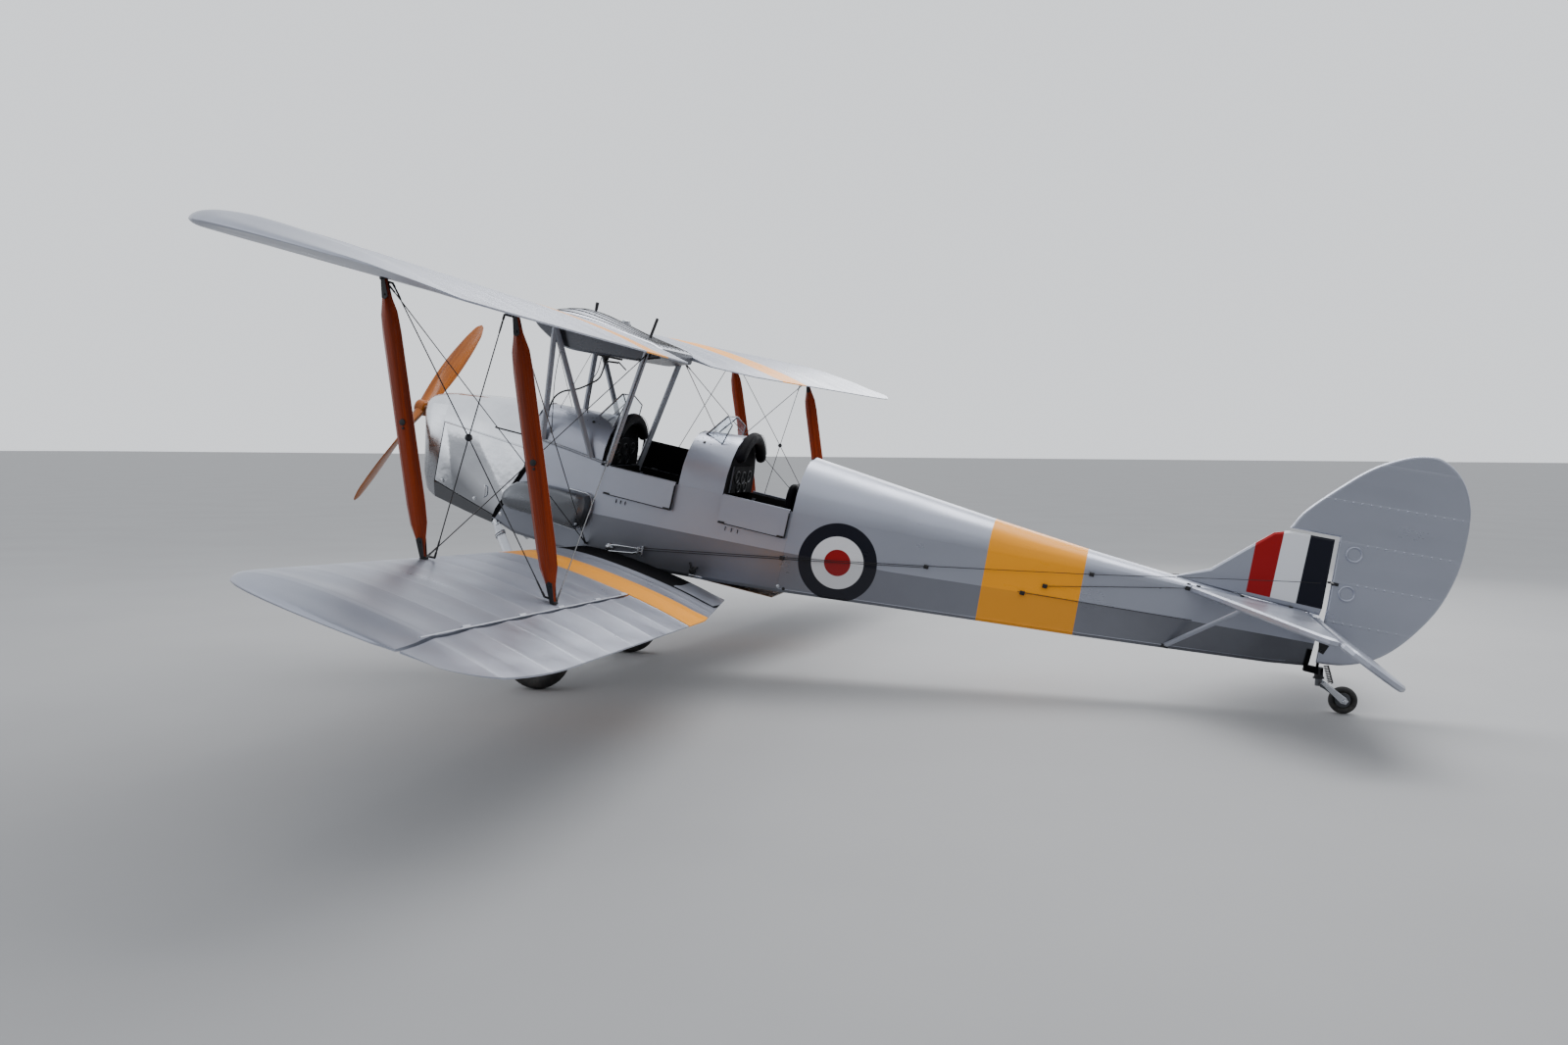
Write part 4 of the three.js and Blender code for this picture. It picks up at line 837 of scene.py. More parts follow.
def wing_place(wing, back, left, high, side=1):
    """back along the wing's incidence from its leading edge line, and high across it."""
    edge_aft = wing["edge_aft"] + (left - STRUT_LEFT) * wing["sweep"]
    edge_up = wing["edge_up"] + (left - STRUT_LEFT) * wing["rise"]
    c, s = math.cos(wing["incidence"]), math.sin(wing["incidence"])
    return place(edge_aft + back * c + high * s, side * left, edge_up - back * s + high * c)


def section(share, column):
    """The section's height over its chord, smooth in the root of the share, so that the nose is round."""
    return curve_through(np.sqrt(share), np.sqrt(SECTION[:, 0]), SECTION[:, column])


def wing_surface(wing, back, left, column, lift=0.0, side=1):
    """A point of the upper (1) or lower (2) skin, lifted off it."""
    return wing_place(wing, back, left, section(back / wing["chord"], column) * wing["chord"] + lift, side)


def wing_rings(wing, lefts, side, cut_from, cut_to, steps=30):
    """Rings round the wing: the section scaled to the chord there, thinned at the tip, less the sag of the
    cloth, which is |sin| of the distance along the rib bay, faded in behind the nose and out at the rear."""
    left = lefts[:, None]
    start, end = chord_span(wing, left)
    first = np.maximum(start, cut_from[:, None])
    last = np.minimum(end, cut_to[:, None])
    back = first + (last - first) * (1 - np.cos(np.linspace(0, np.pi, steps))) / 2
    share = np.clip((back - start) / (end - start), 0, 1)
    thin = 0.25 + 0.75 * np.clip((SEMI_SPAN - left) / 0.26, 0, 1)
    bay = np.abs(np.sin(np.pi * (left - RIB["start"]) / RIB["spacing"]))
    sag = 0.0078 * bay * np.clip((share - 0.06) / 0.14, 0, 1) * np.clip((1 - share) / 0.08, 0, 1) * thin
    middle = 0.02 * wing["chord"]

    tapered = thin * np.sqrt((end - start) / wing["chord"])

    def skin(column, sink):
        full = middle + (section(share, column) * wing["chord"] - middle) * tapered
        return wing_place(wing, back, left, full - sink * sag, side)

    return np.concatenate([skin(1, 1.0), skin(2, -0.7)[:, ::-1]], axis=1)


def rib_stations(first):
    """Eight stations to a rib bay, then closer ones round the tip."""
    bay = RIB["spacing"] / 8
    start = RIB["start"] + bay * math.ceil((first + 0.01 - RIB["start"]) / bay)
    tip = 4.05 + (TIP_LEFT - 4.05) * np.sin(np.linspace(0, np.pi / 2, 14))
    return np.concatenate([[first], np.arange(start, 4.04, bay), tip])


def add_wing_cloth(name, rings, layer, body="airframe"):
    """A wing's or an aileron's skin, which takes the place of the solid."""
    skin = add_mesh(f"{name}_cloth", *capped(rings), WING_CLOTH[layer], body)
    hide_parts(name)


def add_wing_skins():
    """Skins of the upper wing, of the lower wing up to the aileron's gap, and of the aileron behind it."""
    beyond = 9.0
    for side, hand in HANDS:
        lefts = rib_stations(UPPER["root"])
        whole = np.full(len(lefts), beyond)
        add_wing_cloth(f"upper_wing_{hand}", wing_rings(UPPER, lefts, side, -whole, whole), "upper")
        lefts = rib_stations(LOWER["root"])
        edge = AILERON["wing_left"]
        lefts = np.concatenate([lefts[lefts < edge], [edge, edge], lefts[lefts > edge]])
        inner = np.arange(len(lefts)) <= np.argmax(lefts == edge)
        cut_to = np.where(inner, beyond, AILERON["wing_end"])
        before = np.full(len(lefts), -1.0)
        add_wing_cloth(f"lower_wing_{hand}", wing_rings(LOWER, lefts, side, before, cut_to), "lower")
        edge = AILERON["inner_left"]
        lefts = np.concatenate([[edge], lefts[lefts > edge]])
        cut_from = np.full(len(lefts), AILERON["nose"])
        rings = wing_rings(LOWER, lefts, side, cut_from, 9 * cut_from)
        add_wing_cloth(f"aileron_{hand}", rings, "lower", f"aileron_{hand}")


def add_aileron_gap():
    """A light seal cord along the wing's edge ahead of each aileron, and short hinge covers on it."""
    covers = (1.86, 2.30, 2.84, 3.32, 3.90)
    for side, hand in HANDS:
        left = np.linspace(AILERON["wing_left"] + 0.02, 4.30, 60)
        parts = [tube_data(wing_surface(LOWER, 0.928, left, 1, 0.0, side), 0.0032)]
        for middle in covers:
            left = np.linspace(middle - 0.035, middle + 0.035, 6)
            parts.append(tube_data(wing_surface(LOWER, 0.920, left, 1, 0.001, side), 0.007))
        add_mesh(f"aileron_gap_seal_{hand}", *joined(parts), (LIGHT_TAPE, "silver_dope"))


# Cockpits.
COCKPIT = {"front": (1.700, 2.280, 1.680), "rear": (2.610, 3.120, 2.610)}
WALL = 0.022


def liner_outline(aft, inset):
    """Seven straight runs down one side, across the floor and up the other, inside the tub."""
    half, bottom, crease, longeron, _ = hull_at(aft)
    left = np.stack([half, half + BULGE, half, half - 0.016], axis=-1) - inset
    up = np.stack([longeron - 0.003, crease, bottom + inset + 0.022, bottom + inset], axis=-1)
    return np.concatenate([left, -left[..., ::-1]], axis=-1), np.concatenate([up, up[..., ::-1]], axis=-1)


def add_cockpit_lining():
    """A dark lining over the inside of the tub, and slabs over its end walls."""
    aft = np.linspace(1.724, 3.096, 29)
    left, up = liner_outline(aft, WALL + 0.0014)
    sheet = add_mesh("cockpit_lining", place(aft[:, None], left, up), grid_faces(29, 8), LINING)
    thick = sheet.modifiers.new("thick", "SOLIDIFY")
    thick.thickness = 0.001
    thick.offset = 0.0
    walls = []
    for aft, step in ((1.7236, 0.002), (3.0964, -0.002)):
        left, up = liner_outline(np.array(aft), WALL + 0.002)
        walls.append(slab_data(place(aft, left, up), direction(step, 0, 0)))
    add_mesh("cockpit_end_walls", *joined(walls), LINING)


def add_door_stops():
    """A lip inside the foot of the shut front door, and a jamb inside its front edge."""
    ends = np.array([1.7015, 2.279])
    half, _, _, longeron, _ = hull_at(ends)
    low, high = (place(ends, 0.0025 - half, longeron + rise) for rise in (-0.004, 0.014))
    lip = slab_data(np.concatenate([low, high[::-1]]), direction(0, 0.003, 0))
    jamb = box_data((ends[0], -0.3225, -0.083), (1.752, -0.3195, 0.118))
    add_mesh("shut_door_stops", *joined([lip, jamb]), (INTERIOR, "engine_dark"))


def add_cockpit_floors():
    """A plywood floor in each cockpit."""
    floors = []
    for start, end in ((1.730, 2.30), (2.32, 3.09)):
        floors.append(box_data((start, -0.285, -0.700), (end, 0.285, -0.694)))
    add_mesh("cockpit_floors", *joined(floors), (FLOOR_WOOD, "varnished_wood"))


# Each dial's place to the left and above the longeron, and its radius.
DIALS = [(-0.135, 0.128, 0.038), (0.0, 0.120, 0.040), (0.135, 0.128, 0.038),
         (-0.070, 0.048, 0.032), (0.070, 0.048, 0.032)]


def dial_data(centre, radius, needle):
    """A dial's bezel, its face, and its ticks with the needle."""
    axis = direction(1, 0, 0)
    bezel = [(0, radius + 0.006), (0.006, radius + 0.005), (0.007, radius), (0.002, radius - 0.002),
             (0, radius)]
    face = [(0.0, CORE), (0.0012, CORE), (0.0012, radius), (0.0, radius)]
    ticks = [tick_data(centre, radius * 0.72, radius * 0.93, turn, 0.0012)
             for turn in np.radians(np.arange(-140, 141, 35))]
    ticks.append(tick_data(centre, -radius * 0.15, radius * 0.68, needle, 0.0016))
    return lathe_data(bezel, centre, axis, 28), lathe_data(face, centre, axis, 28), joined(ticks)


def add_instruments():
    """A black board on each panel, with bezels, faces, ticks and a needle on each dial."""
    for name, (_, _, panel) in COCKPIT.items():
        front = panel + 0.0125
        longeron = float(hull_at(panel)[3])
        board = box_data((front, -0.214, longeron + 0.013), (front + 0.003, 0.214, longeron + 0.199))
        add_mesh(f"panel_board_{name}", *board, CRACKLE)
        dials = []
        for left, rise, radius in DIALS:
            needle = math.radians(60 * left / 0.07 + 20)
            dials.append(dial_data(place(front + 0.003, left, longeron + rise), radius, needle))
        bezels, faces, marks = zip(*dials)
        add_mesh(f"dial_rims_{name}", *joined(bezels), (FINISH["wire_steel"], "engine_dark"))
        add_mesh(f"dial_faces_{name}", *joined(faces), CRACKLE)
        add_mesh(f"dial_marks_{name}", *joined(marks), (SCREEN_FRAME, "engine_dark"))


def tick_data(centre, start, end, turn, wide):
    """A thin bar on a dial from one radius to another at a turn from the top."""
    out = direction(0, math.sin(turn), math.cos(turn))
    across = direction(0, math.cos(turn), -math.sin(turn)) * wide / 2
    base = centre + direction(0.0013, 0, 0)
    low, high = base + out * start, base + out * end
    return slab_data([low - across, high - across, high + across, low + across], direction(0.0006, 0, 0))


# Soft pieces.
def shaped_mesh(piece):
    """A new mesh of a piece with its modifiers applied."""
    return bpy.data.meshes.new_from_object(piece.evaluated_get(bpy.context.evaluated_depsgraph_get()))


def points_of(mesh):
    """A mesh's points as an array (n, 3)."""
    points = np.empty(len(mesh.vertices) * 3)
    mesh.vertices.foreach_get("co", points)
    return points.reshape(-1, 3)


def swollen(piece, voxel, cap):
    """Padding: the piece is remeshed, blown up as cloth for 20 steps, and no point moves further than the
    cap."""
    scene = bpy.context.scene
    remesh = piece.modifiers.new("remesh", "REMESH")
    remesh.mode = "VOXEL"
    remesh.voxel_size = voxel
    fine = shaped_mesh(piece)
    piece.modifiers.clear()
    piece.data = fine
    cloth = piece.modifiers.new("cloth", "CLOTH")
    cloth.settings.use_pressure = True
    cloth.settings.uniform_pressure_force = 4.0
    cloth.settings.effector_weights.gravity = 0.0
    for step in range(1, 21):
        scene.frame_set(step)
    full = shaped_mesh(piece)
    piece.modifiers.clear()
    before = points_of(fine)
    move = points_of(full) - before
    length = np.linalg.norm(move, axis=1, keepdims=True)
    move *= np.minimum(1.0, cap / np.maximum(length, 1e-9))
    fine.vertices.foreach_set("co", (before + move).ravel())
    fine.polygons.foreach_set("use_smooth", np.full(len(fine.polygons), True))
    scene.frame_set(1)


def pinch_points(piece, pull):
    """Moves a soft piece's points by a function of their places, as whole arrays."""
    points = points_of(piece.data)
    piece.data.vertices.foreach_set("co", (points + pull(points)).ravel())


CUSHION = {"long": 0.304, "half": 0.183, "base": -0.4136, "thick": 0.060}


def cushion_rim(middle_aft, turn, grow):
    """The cushion seen from above: a box with round corners whose sides pull in between them."""
    pinch = 1 - 0.035 * np.cos(2 * turn)**2
    c, s = np.cos(turn), np.sin(turn)
    aft = middle_aft + (CUSHION["long"] / 2 + grow) * np.sign(c) * np.abs(c)**0.35 * pinch
    left = (CUSHION["half"] + grow) * np.sign(s) * np.abs(s)**0.35 * pinch
    return aft, left


def cushion_skin(middle_aft):
    """A crowned seat cushion: the rim's outline shrunk to the poles as cos to the 0.35, the height as sin to
    the 0.7."""
    turn = np.linspace(0, 2 * np.pi, 56, endpoint=False)[None]
    tilt = np.linspace(-np.pi / 2, np.pi / 2, 17)[:, None]
    aft, left = cushion_rim(middle_aft, turn, -0.008)
    shrink = np.clip(np.cos(tilt), 0, 1)**0.35
    rise = np.sign(np.sin(tilt)) * np.abs(np.sin(tilt))**0.7
    high = CUSHION["base"] + 0.005 + CUSHION["thick"] / 2 * (1 + rise) * (0.9 + 0.1 * shrink)
    return capped(place(middle_aft + (aft - middle_aft) * shrink, left * shrink, high))


def sew_channels(piece, middle_aft):
    """Two sewn channels fore and aft: the upper side sinks by a bell curve about each."""
    axis_up, centre = direction(0, 0, 1), place(middle_aft, 0, CUSHION["base"] + 0.03)

    def channels(points):
        above = (points - centre) @ axis_up > 0.012
        depth = sum(np.exp(-((points[:, 1] - line) / 0.006)**2) for line in (-0.062, 0.062))
        return -np.outer(0.008 * depth * above, axis_up)

    pinch_points(piece, channels)


def add_cushion(name, middle_aft):
    """A padded cushion on a seat, and the piping round its rim."""
    piece = add_mesh(f"cushion_{name}_leather", *cushion_skin(middle_aft), HIDE)
    swollen(piece, 0.006, 0.007)
    sew_channels(piece, middle_aft)
    smooth_once(piece)
    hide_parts(f"cushion_{name}")
    aft, left = cushion_rim(middle_aft, np.linspace(0, 2 * np.pi, 90, endpoint=False), -0.002)
    rim = closed_tube(place(aft, left, CUSHION["base"] + CUSHION["thick"] / 2 + 0.004), 0.0035)
    add_mesh(f"cushion_{name}_piping", *rim, HIDE)


BACK_PAD = {"aft": 3.029, "thick": 0.030, "up": -0.085, "high": 0.168, "half": 0.150}


def add_back_pad():
    """The padded back that stands above the rear seat: round corners as cos to the 0.4 of the turn, round
    edges as cos to the 0.35 of the tilt, and a face crowned as sin to the 0.7."""
    turn = np.linspace(0, 2 * np.pi, 48, endpoint=False)[None]
    tilt = np.linspace(-np.pi / 2, np.pi / 2, 15)[:, None]
    shrink = np.clip(np.cos(tilt), 0, 1)**0.35
    left = BACK_PAD["half"] * np.sign(np.cos(turn)) * np.abs(np.cos(turn))**0.4 * shrink
    up = BACK_PAD["up"] + BACK_PAD["high"] * np.sign(np.sin(turn)) * np.abs(np.sin(turn))**0.4 * shrink
    aft = BACK_PAD["aft"] + BACK_PAD["thick"] * np.sign(np.sin(tilt)) * np.abs(np.sin(tilt))**0.7
    piece = add_mesh("back_pad_rear_leather", *capped(place(aft, left, up)), HIDE)
    swollen(piece, 0.007, 0.006)
    smooth_once(piece)


ROLL = {"deep": 0.046, "thick": 0.048, "sweep": math.radians(108)}


def roll_rings(aft, shrink, wide=24, long=49):
    """The padded roll over a coaming: an oval ring carried round the decking's edge, closing in at its
    ends."""
    half, _, _, longeron, top = hull_at(aft)
    share = np.linspace(0, 1, long)[:, None]
    ends = np.clip(np.minimum(share, 1 - share) / 0.07, 0, 1)
    scale = (0.40 + 0.60 * np.sqrt(1 - (1 - ends)**2)) * shrink
    t = np.pi / 2 - ROLL["sweep"] / 2 + ROLL["sweep"] * share
    turn = np.linspace(0, 2 * np.pi, wide, endpoint=False)[None]
    out = ROLL["thick"] * scale * np.sin(turn)
    along = aft + 0.0003 + ROLL["deep"] * (1 - scale * np.cos(turn))
    left = half * np.cos(t) * 0.97 + out * np.cos(t)
    return place(along, left, longeron + np.sin(t) * (top - longeron - 0.004) + out * np.sin(t))


def add_pads():
    """Leather rolls over the two coamings, with a seam along the front of each."""
    for name, (_, _, aft) in COCKPIT.items():
        piece = add_mesh(f"pad_{name}_leather", *capped(roll_rings(aft, 0.86)), HIDE)
        swollen(piece, 0.005, 0.005)
        smooth_once(piece)
        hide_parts(f"pad_{name}")
        seam = roll_rings(aft, 0.985)[3:-3, 9]
        tubes(f"pad_{name}_seam", [seam], 0.0022, HIDE)


# Windscreens: panes in thin metal frames, in place of the plain solids. Aft, base, half width and height.
SCREENS = {"front": (1.495, 0.240, 0.210, 0.195), "rear": (2.312, 0.262, 0.210, 0.180)}


def screen_panes(aft, base, half, high):
    """The corners of a screen's front pane and of its two side panes, as (aft, left, up)."""
    panes = [[[aft, 0.52 * half, base], [aft, -0.52 * half, base],
              [aft + 0.150, -0.5 * half, base + high], [aft + 0.150, 0.5 * half, base + high]]]
    for side in (1, -1):
        panes.append([
            [aft + 0.005, 0.5 * half * side, base], [aft + 0.170, half * side, base - 0.060],
            [aft + 0.210, 0.72 * half * side, base + 0.7 * high],
            [aft + 0.155, 0.48 * half * side, base + high]])
    return panes


def add_windscreens():
    """Glass slabs for each screen's panes, and rods round them."""
    for name, sizes in SCREENS.items():
        sheets, rods = [], []
        for pane in screen_panes(*sizes):
            corners = spots(pane)
            normal = unit(np.cross(corners[1] - corners[0], corners[2] - corners[0]))
            sheets.append(slab_data(corners, normal * 0.004))
            for i in range(4):
                rods.append(tube_data(corners[[i, (i + 1) % 4]], 0.0045))
        glass = add_mesh(f"windscreen_{name}_panes", *joined(sheets), GLASS, smooth=False)
        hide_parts(f"windscreen_{name}")
        add_mesh(f"windscreen_{name}_frame", *joined(rods), SCREEN_METAL)


# Rigging and cables.
def rigging_lines(side):
    """The wires of one side as pairs of ends, as in the solids."""
    inner = STRUT_LEFT - 0.032

    def foot(back, left):
        return wing_surface(LOWER, back, left, 1, 0.014, side)

    def head(back, left):
        return wing_surface(UPPER, back, left, 2, -0.014, side)

    crossing = place(2.055, side * STRUT_LEFT, 0.165)
    root, anchor = place(1.686, side * 0.350, -0.640), place(1.884, side * 0.380, 0.744)
    low, high = LOWER["front_spar"], UPPER["front_spar"]
    low_rear, high_rear = LOWER["rear_spar"], UPPER["rear_spar"]
    return [
        (foot(low + 0.056, STRUT_LEFT), crossing), (foot(low_rear - 0.056, STRUT_LEFT), crossing),
        (head(high + 0.056, STRUT_LEFT), crossing), (head(high_rear - 0.056, STRUT_LEFT), crossing),
        (head(high, inner), root), (head(high_rear, inner), root),
        (foot(low, inner), anchor), (foot(low_rear, inner), anchor)]


def add_wire_ends():
    """Turnbuckles and forks: each wire swells at its ends, first into a fork, then a barrel."""
    share = np.array([0.0, 0.028, 0.032, 0.040, 0.085, 0.092, 0.100])[:, None]
    radii = np.array([0.0062, 0.0062, 0.0038, 0.0050, 0.0050, 0.0038, 0.0034])
    for side, hand in HANDS:
        parts = []
        for index, (start, end) in enumerate(rigging_lines(side)):
            both = [(start, end)] if index < 4 else [(start, end), (end, start)]
            for first, other in both:
                parts.append(tube_data(first + share * unit(other - first), radii))
        add_mesh(f"wire_ends_{hand}", *joined(parts), STEEL)


FUEL_PIPE = [[1.517, 0.22, 0.660], [1.518, 0.22, 0.619], [1.499, 0.22, 0.520], [1.441, 0.22, 0.466],
             [1.351, 0.22, 0.408], [1.242, 0.22, 0.368], [1.182, 0.22, 0.313], [1.158, 0.22, 0.236],
             [1.155, 0.22, 0.150]]
DRAIN_PIPE = [[1.431, 0.10, 0.670], [1.420, 0.10, 0.560], [1.390, 0.10, 0.479], [1.395, 0.10, 0.380],
              [1.403, 0.10, 0.235]]
GAUGE_PIPE = [[1.200, 0.300, 0.700], [1.198, 0.305, 0.560], [1.204, 0.31, 0.420], [1.222, 0.31, 0.280],
              [1.236, 0.30, 0.150], [1.240, 0.29, 0.060]]


def add_cabane_wires():
    """Cross wires across the front bay under the tank, and the pipes down to the decking."""
    cross = [spots([[1.165, 0.350, 0.745], [1.192, -0.300, 0.020]], side) for side in (1, -1)]
    tubes("cabane_cross_wires", cross, 0.0022, STEEL)
    tubes("fuel_pipe", [spots(dense(FUEL_PIPE))], 0.0065, STEEL)
    tubes("drain_pipe", [spots(dense(DRAIN_PIPE))], 0.0035, STEEL)
    tubes("gauge_pipe", [spots(dense(GAUGE_PIPE))], 0.003, STEEL)


def add_fuel_cock():
    """The cock under the tank: a turned body, its two rods and the plate that carries it."""
    body = [(0, CORE), (0, 0.022), (0.018, 0.024), (0.030, 0.014), (0.046, 0.013), (0.050, CORE)]
    parts = [lathe_data(body, place(1.517, 0.22, 0.676), direction(0, 0, -1), 16),
             tube_data(spots([[1.50, 0.22, 0.640], [1.62, 0.225, 0.648]]), 0.007),
             tube_data(spots([[1.62, 0.225, 0.655], [1.69, 0.228, 0.610]]), 0.005),
             box_data((1.455, 0.205, 0.668), (1.640, 0.245, 0.682))]
    add_mesh("fuel_cock", *joined(parts), STEEL)


def beside_hull(rows, out):
    """Points beside the fuselage from (aft, up): left is its half width there plus a gap."""
    aft, up = np.asarray(rows, float).T
    return np.stack([aft, half_width(aft) + out, up], axis=-1)


RUDDER_CABLE = [[2.113, -0.577], [3.117, -0.405], [4.075, -0.240], [5.122, -0.050]]
RUDDER_CABLE_END = [[5.634, 0.100, 0.052], [6.362, 0.062, 0.195], [6.484, 0.062, 0.216]]
LOWER_CABLE = [[2.113, -0.592], [3.117, -0.417], [4.075, -0.251]]
MIDDLE_CABLE = [[4.844, -0.195], [5.355, -0.080], [5.718, 0.000]]
BELLY_CABLE = [[4.690, -0.268], [5.388, -0.223], [5.791, -0.196]]
CABLE_GUIDES = [(3.117, -0.409), (4.075, -0.245), (5.122, -0.050), (4.720, -0.270), (4.850, -0.193),
                (5.720, 0.0)]
LEVER_ARM = [[1.853, 0.345, -0.640], [1.900, 0.358, -0.606], [2.115, 0.356, -0.584]]
LEVER_ROD = [[1.870, 0.350, -0.655], [2.050, 0.352, -0.628], [2.115, 0.352, -0.600]]


def add_cables(side, hand):
    """The cables of one side, beside the fuselage."""
    rudder = np.concatenate([beside_hull(RUDDER_CABLE, 0.022), RUDDER_CABLE_END])
    runs = [rudder, beside_hull(LOWER_CABLE, 0.020), beside_hull(MIDDLE_CABLE, 0.016),
            beside_hull(BELLY_CABLE, 0.016)]
    tubes(f"control_cables_{hand}", [spots(run, side) for run in runs], 0.0021, STEEL)


def add_cable_guides(side, hand):
    """Small blocks on the fuselage side that the cables run through."""
    blocks = []
    for aft, up in CABLE_GUIDES:
        half = float(half_width(aft))
        inner = (aft - 0.016, side * (half - 0.002), up - 0.013)
        outer = (aft + 0.016, side * (half + 0.030), up + 0.013)
        blocks.append(box_data(inner, outer))
    rounded(add_mesh(f"cable_guides_{hand}", *joined(blocks), STEEL), 0.004)


def add_control_lever(side, hand):
    """The lever low beside the front cockpit: its arm, its rod, two cable ends and the boss that it turns
    on."""
    boss = [(0, CORE), (0.0, 0.030), (0.012, 0.027), (0.022, 0.014), (0.024, CORE)]
    parts = [tube_data(spots(dense(LEVER_ARM, 4), side), 0.0075, 10),
             tube_data(spots(LEVER_ROD, side), 0.006, 10),
             box_data((2.085, side * 0.330, -0.622), (2.100, side * 0.366, -0.574)),
             box_data((2.118, side * 0.330, -0.636), (2.128, side * 0.368, -0.560)),
             lathe_data(boss, place(1.868, side * 0.340, -0.628), direction(0, side, 0), 20)]
    rounded(add_mesh(f"control_lever_{hand}", *joined(parts), BRIGHT), 0.002)


def add_control_cables():
    """Cables along the fuselage to the tail, with their guides and levers."""
    for side, hand in HANDS:
        add_cables(side, hand)
        add_cable_guides(side, hand)
        add_control_lever(side, hand)


# Strut fittings.
def height_up(point):
    """The airframe's up of a point in the row frame."""
    return float((HUB[0] - point[0]) * SIN + (point[2] - HUB[1]) * COS)


def strut_end_data(end, way, fore, across):
    """A plate with a bolt on both sides of a strut's end, and the cup that it stands in."""
    parts = []
    bolt = [(0, CORE), (0, 0.007), (0.005, 0.006), (0.005, CORE)]
    for face in (-1, 1):
        base = end + way * 0.012 + across * face * 0.0135
        rise = way * 0.095 + across * face * 0.005
        outline = [base - fore * 0.011, base + rise - fore * 0.017, base + rise * 1.12,
                   base + rise + fore * 0.017, base + fore * 0.011]
        out = across * face
        parts.append(slab_data(outline, out * 0.003))
        parts.append(lathe_data(bolt, base + rise * 0.85 + out * 0.003, out, 10))
    cup = [(0, CORE), (0, 0.024), (0.010, 0.024), (0.014, 0.016), (0.016, CORE)]
    parts.append(lathe_data(cup, end + way * 0.002, way, 20))
    return parts


def strut_boss_data(middle, along, out):
    """A small black boss on a strut's outer face, and a square tag below it."""
    boss = [(0, CORE), (0, 0.017), (0.003, 0.016), (0.004, CORE)]
    tag = [(0, CORE), (0, 0.008), (0.003, 0.008), (0.004, CORE)]
    return [lathe_data(boss, middle, out, 16), lathe_data(tag, middle - along * 0.030, out, 4)]


def add_strut_fittings():
    """Steel plates at both ends of each strut, and a boss on its outer face at a height of its own."""
    boss_up = {"front": 0.165, "rear": 0.120}
    across = np.array([0.0, 1.0, 0.0])
    for side, hand in HANDS:
        plates, bosses = [], []
        for row in ("front", "rear"):
            foot = wing_surface(LOWER, LOWER[f"{row}_spar"], STRUT_LEFT, 1, -0.006, side)
            head = wing_surface(UPPER, UPPER[f"{row}_spar"], STRUT_LEFT, 2, 0.006, side)
            along = unit(head - foot)
            fore = np.cross(along, across)
            plates += strut_end_data(foot, along, fore, across) + strut_end_data(head, -along, fore, across)
            share = (boss_up[row] - height_up(foot)) / (height_up(head) - height_up(foot))
            middle = foot + share * (head - foot) + across * side * 0.021
            bosses += strut_boss_data(middle, along, across * side)
        add_mesh(f"strut_plates_{hand}", *joined(plates), STEEL)
        add_mesh(f"strut_bosses_{hand}", *joined(bosses), STEEL)


# Doors, tank and decking details.
DOORS = {"door_front_left": (1.748, 2.268, 1), "door_rear_left": (2.622, 3.108, 1),
         "door_rear_right": (2.622, 3.108, -1)}


def door_trim_data(start, end, side):
    """The edge strips along a hanging door's foot and rear, as paths, and its two latches at the foot."""
    half, _, _, longeron, _ = hull_at(np.array([start, end]))
    foot = half + 0.014 + 0.012 + 0.0155
    low = longeron + 0.008 - 0.192
    along_foot = place(np.array([start + 0.004, end - 0.004]), side * foot, low)
    head, head_up = half[1] + 0.014 + 0.016, longeron[1] - 0.010
    down_rear = place(end - 0.003, side * np.array([head, foot[1]]), np.array([head_up, low[1]]))
    latches = []
    for aft in (start + 0.030, end - 0.030):
        share = (aft - start) / (end - start)
        left, up = foot[0] + (foot[1] - foot[0]) * share, low[0] + (low[1] - low[0]) * share
        inner = (aft - 0.022, side * (left - 0.004), up)
        outer = (aft + 0.022, side * (left + 0.006), up + 0.012)
        latches.append(box_data(inner, outer))
    return [along_foot, down_rear], latches


def add_door_trims():
    """Black trims and latches on the hanging doors, and the short springs that they rest on."""
    for name, (start, end, side) in DOORS.items():
        lines, latches = door_trim_data(start, end, side)
        tubes(f"{name}_trim", lines, 0.0032, STEEL, name)
        add_mesh(f"{name}_latches", *joined(latches), STEEL, name)
    springs = []
    for aft in (1.850, 1.885, 1.920, 2.680, 2.725, 2.770):
        half, _, crease, longeron, _ = (float(v) for v in hull_at(aft))
        up = longeron - 0.207
        for side in (1, -1):
            left = side * (half + BULGE * (longeron - up) / (longeron - crease))
            bow = place(aft, left + side * np.array([0.0, 0.006, 0.006, 0.0]),
                        up - np.array([0.0, 0.004, 0.020, 0.024]))
            springs.append(tube_data(bow, 0.0026, 6))
    add_mesh("door_stop_springs", *joined(springs), STEEL)


# Aft, low, high and dome of the tank's section.
TANK = np.array([
    [0.955, 0.836, 0.848, 0.000], [0.975, 0.806, 0.872, 0.008], [1.010, 0.778, 0.890, 0.022],
    [1.100, 0.726, 0.911, 0.046], [1.190, 0.690, 0.915, 0.062], [1.277, 0.672, 0.913, 0.064],
    [1.400, 0.674, 0.905, 0.052], [1.533, 0.682, 0.890, 0.034], [1.690, 0.688, 0.868, 0.012],
    [1.800, 0.694, 0.850, 0.002], [1.900, 0.722, 0.832, 0.000], [1.960, 0.738, 0.808, 0.000]])
TANK_HALF = 0.3217


